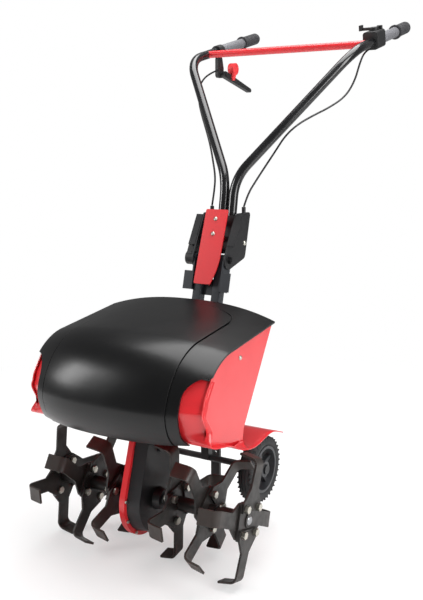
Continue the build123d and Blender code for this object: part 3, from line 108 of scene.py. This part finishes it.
def finish(name, light, dark, patch_mm, grain_mm, bump_mm, rough=(0.35, 0.5), **shader):
    """A surface whose colour drifts between two tones in patches, with fine grain in its relief."""
    material = bpy.data.materials.new(name)
    material.use_nodes = True
    tree = material.node_tree
    tree.nodes.clear()
    place = put(tree, "ShaderNodeTexCoord").outputs["Object"]
    patch = put(tree, "ShaderNodeTexNoise", {"Vector": place, "Scale": 1000 / patch_mm, "Detail": 3.0})
    grain = put(tree, "ShaderNodeTexNoise", {"Vector": place, "Scale": 1000 / grain_mm, "Detail": 2.0})
    tone = put(tree, "ShaderNodeMix", {0: patch.outputs["Fac"], 6: colour(light), 7: colour(dark)},
               data_type="RGBA")
    gloss = put(tree, "ShaderNodeMapRange", {"Value": patch.outputs["Fac"], "From Min": 0.3,
                "From Max": 0.7, "To Min": rough[0], "To Max": rough[1]})
    relief = put(tree, "ShaderNodeBump", {"Height": grain.outputs["Fac"], "Distance": bump_mm / 1000,
                 "Strength": 1.0})
    surface = put(tree, "ShaderNodeBsdfPrincipled", {"Base Color": tone.outputs[2],
                  "Roughness": gloss.outputs["Result"], "Normal": relief.outputs["Normal"]})
    for key, value in shader.items():
        surface.inputs[key.replace("_", " ")].default_value = value
    out = put(tree, "ShaderNodeOutputMaterial", {"Surface": surface.outputs["BSDF"]})
    out.name = "Output"
    return material, tree, surface, place, tone


# %% [markdown]
# The hood and the bars are stove enamel over steel: near black, with a clear, slightly wavy skin
# that shows soft windows of light. The red is the same enamel in another colour.

# %% Enamels and powder coats
hood_enamel = finish("black stove enamel, hood", "#050506", "#080809", 90, 6, 0.01,
                     rough=(0.27, 0.33), Specular_IOR_Level=0.4)[0]
bar_enamel = finish("black gloss enamel, bars", "#0b0b0d", "#111114", 60, 5, 0.01,
                    rough=(0.2, 0.3), Coat_Weight=0.5, Coat_Roughness=0.08)[0]
red_enamel = finish("red gloss enamel", "#e32a30", "#d01f27", 70, 6, 0.012,
                    rough=(0.28, 0.36), Coat_Weight=0.4, Coat_Roughness=0.12)[0]
frame_black = finish("black powder coat, frame", "#121214", "#1a1a1d", 50, 1.6, 0.05,
                     rough=(0.38, 0.5))[0]
column_grey = finish("dark grey powder coat", "#2b2e34", "#24272c", 40, 1.8, 0.05,
                     rough=(0.4, 0.5), Metallic=0.15)[0]
print("enamels made")

# %% Metals
zinc = finish("bright zinc plate", "#c9c7bf", "#b4b2a6", 8, 1.5, 0.02, rough=(0.25, 0.4),
              Metallic=1.0)[0]
ground_steel = finish("ground steel", "#a9aaac", "#8f9092", 12, 0.9, 0.02, rough=(0.28, 0.42),
                      Metallic=1.0)[0]
cast_alloy = finish("sand-cast aluminium", "#a3a5a7", "#8d9092", 20, 1.5, 0.12, rough=(0.45, 0.6),
                    Metallic=0.9)[0]
engine_black = finish("heat-proof black paint", "#1b1b1c", "#242423", 25, 1.2, 0.08,
                      rough=(0.55, 0.7))[0]

# %% [markdown]
# Tine blades leave the factory in dark paint, and the soil polishes the paint off their tips first.
# Distance from the axle decides how far the wear has gone, and noise breaks its edge up.

# %% Tine paint with worn tips
tine_paint, tree, surface, place, tone = finish(
    "dark tine paint, worn at the tips", "#26221f", "#191716", 18, 1.5, 0.06, rough=(0.38, 0.55))
spread = put(tree, "ShaderNodeSeparateXYZ", {"Vector": put(
    tree, "ShaderNodeVectorMath", {0: place, 1: (0, AXLE.y, AXLE.z)}, operation="SUBTRACT").outputs[0]})
flat = put(tree, "ShaderNodeCombineXYZ", {"Y": spread.outputs["Y"], "Z": spread.outputs["Z"]})
reach = put(tree, "ShaderNodeVectorMath", {0: flat.outputs[0]}, operation="LENGTH")
rub = put(tree, "ShaderNodeTexNoise", {"Vector": place, "Scale": 60.0, "Detail": 4.0})
edge = put(tree, "ShaderNodeMath", {0: rub.outputs["Fac"], 1: 0.05, 2: reach.outputs["Value"]},
           operation="MULTIPLY_ADD")
worn = put(tree, "ShaderNodeMapRange", {"Value": edge.outputs[0], "From Min": 0.118, "From Max": 0.16})
soil = put(tree, "ShaderNodeMix", {0: worn.outputs["Result"], 6: tone.outputs[2], 7: colour("#332b27")},
           data_type="RGBA")
tree.links.new(soil.outputs[2], surface.inputs["Base Color"])
print("tine paint made")

# %% Plastics and rubbers
black_abs = finish("black moulded ABS", "#1a1a1b", "#222223", 30, 1.2, 0.05, rough=(0.42, 0.55))[0]
red_plastic = finish("red moulded plastic", "#f0474a", "#dd3238", 20, 1.5, 0.03,
                     rough=(0.3, 0.42))[0]
grip_rubber = finish("dark grey grip rubber", "#3a3a3d", "#2f2f32", 15, 1.0, 0.08,
                     rough=(0.6, 0.75))[0]
sleeve_foam = finish("grey sleeve", "#77777b", "#68686c", 15, 1.0, 0.06, rough=(0.5, 0.65))[0]
belt_rubber = finish("belt rubber", "#161616", "#1e1e1e", 12, 1.2, 0.06, rough=(0.7, 0.8))[0]
cable_skin = finish("cable sheath", "#101011", "#18181a", 20, 1.5, 0.02, rough=(0.3, 0.4))[0]
tyre_rubber = finish("tyre rubber", "#2a2a2b", "#202021", 25, 1.3, 0.1, rough=(0.65, 0.8))[0]
wheel_plastic = finish("grey moulded wheel", "#3a3b3e", "#303134", 30, 1.4, 0.05,
                       rough=(0.45, 0.6))[0]
print("materials", len(bpy.data.materials))

# %% [markdown]
# ## Dressing the CAD nodes
# A CAD mesh comes as loose triangles with knife-sharp edges. Its shape is right, so a merged copy
# with smooth faces and a small rounded edge stands for it: pressed and painted steel never has a
# truly sharp edge, and the thin line of light along it is what makes metal look like metal.

# %% Copy a node, merge it and round its edges
def body_of_node(name):
    for body, members in frame["record"]["behaviour"]["bodies"].items():
        if name in members:
            return body
    return None


def dress(name, material, edge_mm=0.0, angle=32):
    """Stands for a CAD node: merged, smooth, with its sharp edges rounded."""
    source = nodes[name]
    mesh = source.data.copy()
    mesh.materials.clear()
    mesh.materials.append(material)
    shape = bmesh.new()
    shape.from_mesh(mesh)
    bmesh.ops.remove_doubles(shape, verts=shape.verts, dist=0.00002)
    bmesh.ops.dissolve_degenerate(shape, edges=shape.edges, dist=0.00002)
    for face in shape.faces:
        face.smooth = True
        face.material_index = 0
    for line in shape.edges:
        line.smooth = len(line.link_faces) == 2 and line.calc_face_angle(0) < math.radians(angle)
    shape.to_mesh(mesh)
    shape.free()
    if mesh.has_custom_normals:
        mesh.normals_split_custom_set([(0, 0, 0)] * len(mesh.loops))
    piece = bpy.data.objects.new(name + "_finished", mesh)
    bpy.context.scene.collection.objects.link(piece)
    if edge_mm:
        rounding = piece.modifiers.new("rounded edge", "BEVEL")
        rounding.width = edge_mm / 1000
        rounding.segments = 2
        rounding.limit_method = "ANGLE"
        rounding.angle_limit = math.radians(40)
        rounding.harden_normals = True
        rounding.use_clamp_overlap = True
    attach(piece, body_of_node(name))
    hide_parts(name)
    return piece


FINISHES = [
    (hood_enamel, 0.6, ["hood_cover", "hood_panel"]),
    (red_enamel, 0.5, ["chain_case_left", "column_cover"]),
    (red_enamel, 0, ["crossbar"]),
    (bar_enamel, 0, ["handle_tube_left", "handle_tube_right"]),
    (frame_black, 0.8, ["chain_case_right", "rear_hitch", "upper_bracket", "lock_lever",
                        "wheel_carrier", "depth_spur", "idler_arm", "engine_deck"]),
    (column_grey, 0.6, ["lower_column"]),
    (tine_paint, 0.8, ["tine_hub_inner_left", "tine_hub_inner_right", "tine_hub_outer_left",
                       "tine_hub_outer_right", "tine_blades_inner_left", "tine_blades_inner_right",
                       "tine_blades_outer_left", "tine_blades_outer_right"]),
    (zinc, 0.7, ["star_bolts", "case_bolts", "hub_pins", "clamp_screws"]),
    (ground_steel, 0.3, ["tine_shaft", "tine_sprocket", "middle_shaft", "input_shaft", "chain_lower",
                         "chain_upper", "driven_pulley", "drive_pulley", "idler_pulley"]),
    (cast_alloy, 0.8, ["crankcase", "cylinder"]),
    (engine_black, 0.8, ["recoil_housing", "muffler"]),
    (black_abs, 0.8, ["recoil_handle", "air_filter", "fuel_cap", "fuel_tank", "throttle_housing",
                      "throttle_lever", "clutch_bracket", "clutch_lever"]),
    (red_plastic, 0.8, ["clutch_latch"]),
    (belt_rubber, 0.3, ["v_belt"]),
    (wheel_plastic, 0.8, ["wheel_rim_left", "wheel_rim_right"]),
]
dressed = {}
for material, edge_mm, names in FINISHES:
    for name in names:
        dressed[name] = dress(name, material, edge_mm)
print("dressed", len(dressed))

# %% [markdown]
# ## Pan
# The red pan is one pressed sheet: it follows the hood round the nose, dips under the engine and
# flares out at the back. It is drawn here as a fine grid through the same outline as the hood's, so
# that its highlights run smoothly, then given the thickness of the sheet.

# %% Outline of the pan
SHRINK_POINT, NOSE_CENTRE = (148, 364), (-40, 389)
HOOD_HALF_WIDTH, PAN_HALF_WIDTH, WALL_X = 225, 240, 222
PAN_SKIN, PAN_WALL = 7.6, 2.3
HOOD_SIDE = [(172, 563.2), (90, 553.5), (0, 540.5), (-60, 531), (-90, 521), (-118, 507), (-142, 489)]
PAN_NOSE = [(-149, 491), (-176.6, 452.7), (-185.4, 430), (-191, 408), (-172, 366)]
PAN_FLOOR = [(-122, 337), (-48, 318), (3, 294), (62, 283), (140, 292), (199, 274.2)]


def shrunk(point, x):
    """The section grows smaller towards the sides, about one point inside it."""
    k = 1 - 0.15 * abs(x / HOOD_HALF_WIDTH) ** 2.45
    return tuple(c + k * (v - c) for v, c in zip(point, SHRINK_POINT))


def pan_outline(x, steps=10):
    """Smooth line through the outline's points in the section at x."""
    points = []
    for point in PAN_NOSE:
        away = math.dist(point, NOSE_CENTRE)
        inset = [c + (v - c) * (1 - PAN_SKIN / away) for v, c in zip(point, NOSE_CENTRE)]
        points.append(shrunk(inset, x))
    points += PAN_FLOOR
    points = [points[0]] + points + [points[-1]]
    line = []
    for a, b, c, d in zip(points, points[1:], points[2:], points[3:]):
        for i in range(steps):
            t = i / steps
            line.append(tuple(
                0.5 * (2 * q + (r - p) * t + (2 * p - 5 * q + 4 * r - w) * t * t
                       + (3 * q - p - 3 * r + w) * t ** 3)
                for p, q, r, w in zip(a, b, c, d)))
    return line + [points[-1]]


def edge_at(z):
    """How far the pan's edge stands from the middle: in line with the hood, and wider at the foot."""
    t = min(1, max(0, (400 - z) / 90))
    return 226 + 14 * t * t * (3 - 2 * t)


# %% Pan sheet, side walls and the flare between them
def sheet_piece(name, rows, material, thickness, skip=None):
    """A grid of points made into a sheet with thickness, leaving out the cells that skip names."""
    shape = bmesh.new()
    made = [[shape.verts.new(point) for point in row] for row in rows]
    for i in range(len(rows) - 1):
        for j in range(len(rows[i]) - 1):
            if skip and skip(rows[i][j], rows[i + 1][j + 1]):
                continue
            corners = (made[i][j], made[i][j + 1], made[i + 1][j + 1], made[i + 1][j])
            shape.faces.new(corners).smooth = True
    bmesh.ops.delete(shape, geom=[v for v in shape.verts if not v.link_faces], context="VERTS")
    mesh = bpy.data.meshes.new(name)
    shape.to_mesh(mesh)
    shape.free()
    mesh.materials.append(material)
    piece = bpy.data.objects.new(name, mesh)
    bpy.context.scene.collection.objects.link(piece)
    wall = piece.modifiers.new("sheet thickness", "SOLIDIFY")
    wall.thickness = thickness / 1000
    wall.offset = -1
    wall.use_even_offset = True
    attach(piece, "chassis")
    return piece


def in_slot(a, b):
    """True for a cell of the pan in the slot that the chain case and the hitch pass through."""
    return a.x > -0.027 and b.x < 0.030 and a.y > SHIFT - 0.088 and b.y < SHIFT + 0.215


columns = sorted({-PAN_HALF_WIDTH + 12 * i for i in range(41)} | {-26.5, 29.5})
pan = sheet_piece("pan_sheet", [[mm(x * edge_at(z) / PAN_HALF_WIDTH, y, z) for y, z in pan_outline(x)]
                                for x in columns], red_enamel, PAN_WALL, in_slot)
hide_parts("body_pan")
for side in (-1, 1):
    x = side * WALL_X
    low = [(y, z) for y, z in pan_outline(x) if y < 34]
    outline = low + [(39, 330)] + [shrunk(point, x) for point in HOOD_SIDE]
    shape = bmesh.new()
    shape.faces.new([shape.verts.new(mm(x, y, z)) for y, z in outline])
    mesh = bpy.data.meshes.new("side_wall")
    bmesh.ops.triangulate(shape, faces=shape.faces)
    shape.normal_update()
    for face in shape.faces:
        if face.normal.x * side < 0:
            face.normal_flip()
    shape.to_mesh(mesh)
    shape.free()
    mesh.materials.append(red_enamel)
    wall = bpy.data.objects.new("side_wall_" + ("left" if side < 0 else "right"), mesh)
    bpy.context.scene.collection.objects.link(wall)
    thick = wall.modifiers.new("sheet thickness", "SOLIDIFY")
    thick.thickness, thick.offset = PAN_WALL / 1000, -1
    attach(wall, "chassis")
    flare = []
    for y, z in [p for p in pan_outline(x) if -30 < p[0] < 38]:
        grow = min(1, (y + 32) / 50)
        radius = 4 + 14 * grow
        flare.append([mm(side * (edge_at(z) - radius * math.cos(a)), y,
                         z + 0.3 + radius * (1 - math.sin(a)))
                      for a in (math.pi / 2 * i / 10 for i in range(11))])
    if side > 0:
        flare = [row[::-1] for row in flare]
    sheet_piece("flare_" + ("left" if side < 0 else "right"), flare, red_enamel, 1.5)
print("pan made", len(pan.data.polygons))

# %% [markdown]
# ## Turned pieces
# Grips, sleeves and tyres are round about a line, so one profile turned about it makes each of
# them. The profile is a list of (distance along the line, radius).

# %% Turn a profile about a line
def turned(name, start, along, profile, material, steps=64, closed=False):
    """A lathe: the profile's points are (distance along, radius) in millimetres."""
    axis = Vector(along).normalized()
    side = axis.orthogonal().normalized()
    other = axis.cross(side)
    shape = bmesh.new()
    rings = []
    for distance, radius in profile:
        centre = start + axis * (distance / 1000)
        if radius < 1e-6:
            rings.append([shape.verts.new(centre)])
            continue
        rings.append([shape.verts.new(centre + (side * math.cos(a) + other * math.sin(a)) * (radius / 1000))
                      for a in (2 * math.pi * i / steps for i in range(steps))])
    pairs = list(zip(rings, rings[1:])) + ([(rings[-1], rings[0])] if closed else [])
    for first, second in pairs:
        for i in range(steps):
            j = (i + 1) % steps
            corners = [first[i % len(first)], first[j % len(first)],
                       second[j % len(second)], second[i % len(second)]]
            corners = list(dict.fromkeys(corners))
            if len(corners) > 2:
                shape.faces.new(corners)
    bmesh.ops.recalc_face_normals(shape, faces=shape.faces)
    for face in shape.faces:
        face.smooth = True
    for line in shape.edges:
        line.smooth = line.calc_face_angle(0) < math.radians(40)
    mesh = bpy.data.meshes.new(name)
    shape.to_mesh(mesh)
    shape.free()
    mesh.materials.append(material)
    piece = bpy.data.objects.new(name, mesh)
    bpy.context.scene.collection.objects.link(piece)
    return piece


# %% [markdown]
# The tyre is a solid rubber one with a rounded tread. Its grooves run round it, and short lugs on
# its shoulders repeat at an even pitch, so those are laid out by Geometry Nodes further down.

# %% Tyres
TYRE_PROFILE = [(-15, 58), (-17.8, 62), (-18.2, 70), (-17.4, 75.2), (-15, 78.2), (-12.4, 79.6),
                (-12, 78.2), (-9.6, 79.2), (-9.2, 81.2), (-5.4, 82.2), (-5, 80.6), (-2.8, 80.9),
                (-2.4, 82.8), (2.4, 82.8), (2.8, 80.9), (5, 80.6), (5.4, 82.2), (9.2, 81.2),
                (9.6, 79.2), (12, 78.2), (12.4, 79.6), (15, 78.2), (17.4, 75.2), (18.2, 70),
                (17.8, 62), (15, 58)]
for name, body in (("tyre_left", "wheel_left"), ("tyre_right", "wheel_right")):
    low, high = [Vector(p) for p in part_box(name)]
    tyre = turned(name + "_rubber", (low + high) / 2, (1, 0, 0), TYRE_PROFILE, tyre_rubber, 96, True)
    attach(tyre, body)
    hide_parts(name)
print("tyres made")


# %% [markdown]
# Geometry Nodes repeat one small block round a circle: a mesh circle gives the places, each place
# gets the block, and Realize Instances turns the copies into real mesh.

# %% Lay blocks round a wheel
def ring_tree():
    """Node tree: blocks of a given size round a circle in the YZ plane."""
    tree = bpy.data.node_groups.new("blocks round a wheel", "GeometryNodeTree")
    sockets = [("Count", "NodeSocketInt", 12), ("Radius", "NodeSocketFloat", 0.08),
               ("Block", "NodeSocketVector", (0.004, 0.003, 0.003)),
               ("Centre", "NodeSocketVector", (0, 0, 0)), ("Finish", "NodeSocketMaterial", None)]
    tree.interface.new_socket("Geometry", in_out="OUTPUT", socket_type="NodeSocketGeometry")
    for label, kind, value in sockets:
        made = tree.interface.new_socket(label, in_out="INPUT", socket_type=kind)
        if value is not None:
            made.default_value = value
    given = put(tree, "NodeGroupInput").outputs
    circle = put(tree, "GeometryNodeMeshCircle", {"Vertices": given["Count"], "Radius": given["Radius"]})
    where = put(tree, "GeometryNodeInputPosition").outputs[0]
    facing = put(tree, "FunctionNodeAlignRotationToVector", {"Vector": where}, axis="Y")
    block = put(tree, "GeometryNodeMeshCube", {"Size": given["Block"]})
    copies = put(tree, "GeometryNodeInstanceOnPoints", {"Points": circle.outputs[0],
                 "Instance": block.outputs["Mesh"], "Rotation": facing.outputs[0]})
    upright = put(tree, "GeometryNodeTransform", {"Geometry": copies.outputs[0],
                  "Rotation": (0, math.pi / 2, 0), "Translation": given["Centre"]})
    real = put(tree, "GeometryNodeRealizeInstances", {0: upright.outputs[0]})
    painted = put(tree, "GeometryNodeSetMaterial", {"Geometry": real.outputs[0],
                  "Material": given["Finish"]})
    put(tree, "NodeGroupOutput", {0: painted.outputs[0]})
    return tree


blocks_round = ring_tree()


def ring_of_blocks(name, count, radius, block, centre, material, body):
    holder = bpy.data.objects.new(name + "_maker", bpy.data.meshes.new(name))
    bpy.context.scene.collection.objects.link(holder)
    maker = holder.modifiers.new("blocks", "NODES")
    maker.node_group = blocks_round
    keys = {item.name: item.identifier for item in blocks_round.interface.items_tree
            if item.in_out == "INPUT"}
    maker[keys["Count"]] = count
    maker[keys["Radius"]] = radius
    maker[keys["Block"]] = block
    maker[keys["Centre"]] = tuple(centre)
    maker[keys["Finish"]] = material
    graph = bpy.context.evaluated_depsgraph_get()
    mesh = bpy.data.meshes.new_from_object(holder.evaluated_get(graph))
    bpy.data.objects.remove(holder)
    piece = bpy.data.objects.new(name, mesh)
    bpy.context.scene.collection.objects.link(piece)
    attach(piece, body)
    return piece


for side, body in ((-1, "wheel_left"), (1, "wheel_right")):
    low, high = [Vector(p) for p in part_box("tyre_left" if side < 0 else "tyre_right")]
    centre = (low + high) / 2
    for shoulder in (-1, 1):
        lugs = ring_of_blocks(f"{body}_lugs_{'outer' if shoulder * side > 0 else 'inner'}", 36, 0.0765,
                              (0.0028, 0.007, 0.0055), centre + Vector((shoulder * 0.0155, 0, 0)),
                              tyre_rubber, body)
        print(lugs.name, len(lugs.data.polygons))

# %% [markdown]
# The grips are ribbed rubber, and grey sleeves cover the tube in front of them. Both sit on the last
# straight run of the bars, which rises towards the back.

# %% Grips and sleeves
bar_end = mm(244, 968, 1268.2)
bar_along = (mm(0, 968, 1268.2) - mm(0, 578, 1168)).normalized()
GRIP_PROFILE = [(0, 12), (0, 19), (1, 20), (4, 20), (5, 19), (5.5, 17)]
for i in range(11):
    GRIP_PROFILE += [(8 + 7.4 * i, 17), (9 + 7.4 * i, 16), (12.6 + 7.4 * i, 16), (13.6 + 7.4 * i, 17)]
GRIP_PROFILE += [(92, 17), (96, 15.5), (98, 12), (98, 0)]
for side, name in ((-1, "grip_left"), (1, "grip_right")):
    end = Vector((bar_end.x * side, bar_end.y, bar_end.z))
    start = end - bar_along * ((98 * bar_along.y - 7) / bar_along.y / 1000)
    rubber = turned(name + "_rubber", start, bar_along, GRIP_PROFILE, grip_rubber)
    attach(rubber, "handlebar")
    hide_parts(name)
    front = 760 if side > 0 else 752
    sleeve_start = Vector((end.x, mm(0, front, 0).y, 0))
    sleeve_start.z = end.z - (end.y - sleeve_start.y) * bar_along.z / bar_along.y
    length = (start - sleeve_start).length * 1000 - 1
    sleeve = turned(name + "_sleeve", sleeve_start, bar_along,
                    [(0, 12.02), (0, 13.6), (1, 14.2), (length - 1, 14.2), (length, 13.6), (length, 12.02)],
                    sleeve_foam)
    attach(sleeve, "handlebar")
print("grips and sleeves made")

# %% [markdown]
# ## Cables
# A Bowden cable is a springy sheathed wire: between its two ends it takes one smooth curve. The
# route's points are the control points of a NURBS spline, which never kinks.

# %% Cable curves
CLUTCH_ROUTE = [
    (-240, 722.5, 1152), (-241, 690, 1143), (-242, 644, 1122), (-226, 592, 1088),
    (-200, 552, 1048), (-166, 514, 1008), (-132, 480, 968), (-101, 447, 930),
    (-74, 414, 892), (-53, 390, 852), (-46, 372, 816), (-46, 361, 781),
]
THROTTLE_ROUTE = [
    (238, 697.3, 1182.3), (237, 664, 1172), (234, 640, 1142), (228, 624, 1096),
    (212, 602, 1056), (188, 558, 1028), (164, 508, 1006), (141, 468, 984),
    (117, 446, 956), (96, 434, 918), (76, 418, 880), (61, 396, 844), (50, 374, 812), (46, 361, 781),
]
for name, route, length in (("clutch_cable", CLUTCH_ROUTE, 0.582),
                            ("throttle_cable", THROTTLE_ROUTE, 0.588)):
    data = bpy.data.curves.new(name + "_line", "CURVE")
    data.dimensions = "3D"
    spline = data.splines.new("NURBS")
    spline.points.add(len(route) - 1)
    for point, place in zip(spline.points, route):
        point.co = (*mm(*place), 1)
    spline.order_u = 3
    spline.use_endpoint_u = True
    spline.resolution_u = 12
    data.bevel_depth = 0.0025
    data.bevel_resolution = 4
    data.use_fill_caps = True
    data.materials.append(cable_skin)
    line = bpy.data.objects.new(name + "_line", data)
    bpy.context.scene.collection.objects.link(line)
    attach(line, "handlebar")
    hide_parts(name)
print("cables made")


# %% [markdown]
# ## Screws and small fittings
# Small bright fasteners hold the cover, the side walls and the bracket. One pan-head screw shape is
# turned for each place, with its head facing outwards.

# %% Screws
HEAD = [(-1.5, 0), (-1.5, 5.2), (0.6, 5.2), (2.2, 4.4), (3.0, 2.6), (2.2, 1.6), (2.0, 0)]


def screw(name, place, facing, body, material=zinc, size=1.0):
    piece = turned(name, place, facing, [(d * size, r * size) for d, r in HEAD], material, 24)
    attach(piece, body)
    return piece


for side in (-1, 1):
    screw(f"wall_screw_{'left' if side < 0 else 'right'}", mm(side * WALL_X, 20, 490), (side, 0, 0),
          "chassis")
    for i, (y, z) in enumerate(((334, 742), (362, 690))):
        screw(f"bracket_screw_{'left' if side < 0 else 'right'}_{i}",
              mm(side * 47.6, y, z), (side, 0, 0), "handlebar", size=1.2)
cover_face = Vector((0, -math.cos(math.atan2(64, 178)), math.sin(math.atan2(64, 178))))
for i, share in enumerate((0.873, 0.672)):
    place = mm(0, 244 + 64 * share, 598 + 178 * share)
    screw(f"cover_screw_{i}", place, cover_face, "handlebar", size=1.0)
print("screws made")

# %% [markdown]
# ## Camera, light and floor
# The camera stands in front and to the right of the machine, a little above the hood. Large soft
# lights from above and from both sides give the wide soft windows on the black hood. The room is
# dim for reflections, so that the hood stays dark, and white for the camera. The floor fades to the
# same white away from the tines and keeps a light grey shadow under them.

# %% Camera
scene = bpy.context.scene
camera_data = bpy.data.cameras.new("view")
camera_data.lens = 49.88
camera_data.sensor_width = 36
camera = bpy.data.objects.new("view", camera_data)
camera.location = mm(1030.2, -1476.1, 918.8)
camera.rotation_euler = (math.radians(90 - 10.19), 0, math.radians(30.4))
scene.collection.objects.link(camera)
scene.camera = camera

# %% Lights and floor
def soft_light(name, place, target, size, watts):
    data = bpy.data.lights.new(name, "AREA")
    data.shape = "RECTANGLE"
    data.size, data.size_y = size
    data.energy = watts
    lamp = bpy.data.objects.new(name, data)
    lamp.location = place
    lamp.rotation_euler = (Vector(target) - Vector(place)).to_track_quat("-Z", "Y").to_euler()
    scene.collection.objects.link(lamp)
    return lamp


soft_light("overhead", (0.2, 0.2, 3.2), (0, -0.2, 0.4), (3.0, 2.2), 105)
soft_light("front left", (-2.8, -2.2, 2.0), (0, -0.3, 0.5), (0.9, 1.6), 60)
soft_light("right", (3.2, -0.6, 1.8), (0, -0.2, 0.5), (1.6, 2.2), 75)
sky = bpy.data.worlds.new("white room")
sky.use_nodes = True
room = sky.node_tree
seen = put(room, "ShaderNodeLightPath").outputs["Is Camera Ray"]
strength = put(room, "ShaderNodeMapRange", {"Value": seen, "To Min": 0.2, "To Max": 1.0})
room.nodes["Background"].inputs["Color"].default_value = (1, 1, 1, 1)
room.links.new(strength.outputs["Result"], room.nodes["Background"].inputs["Strength"])
scene.world = sky
scene.view_settings.view_transform = "Standard"

floor_mesh = bpy.data.meshes.new("floor")
floor_mesh.from_pydata([(-40, -40, 0), (40, -40, 0), (40, 40, 0), (-40, 40, 0)], [], [(0, 1, 2, 3)])
floor_material, tree, surface, place, tone = finish(
    "pale floor", "#ffffff", "#fbfbfb", 400, 60, 0.0, rough=(0.9, 1.0), Specular_IOR_Level=0.0)
away = put(tree, "ShaderNodeVectorMath", {0: place}, operation="LENGTH")
fade = put(tree, "ShaderNodeMapRange", {"Value": away.outputs["Value"], "From Min": 0.3,
           "From Max": 1.6, "To Min": 0.42, "To Max": 1.0})
seen = put(tree, "ShaderNodeLightPath").outputs["Is Camera Ray"]
white = put(tree, "ShaderNodeMath", {0: fade.outputs["Result"], 1: seen}, operation="MULTIPLY")
shine = put(tree, "ShaderNodeEmission", {"Color": (1, 1, 1, 1), "Strength": 1.0})
blend = put(tree, "ShaderNodeMixShader", {0: white.outputs[0], 1: surface.outputs["BSDF"],
            2: shine.outputs["Emission"]})
tree.links.new(blend.outputs[0], tree.nodes["Output"].inputs["Surface"])
floor_mesh.materials.append(floor_material)
floor = bpy.data.objects.new("floor", floor_mesh)
scene.collection.objects.link(floor)
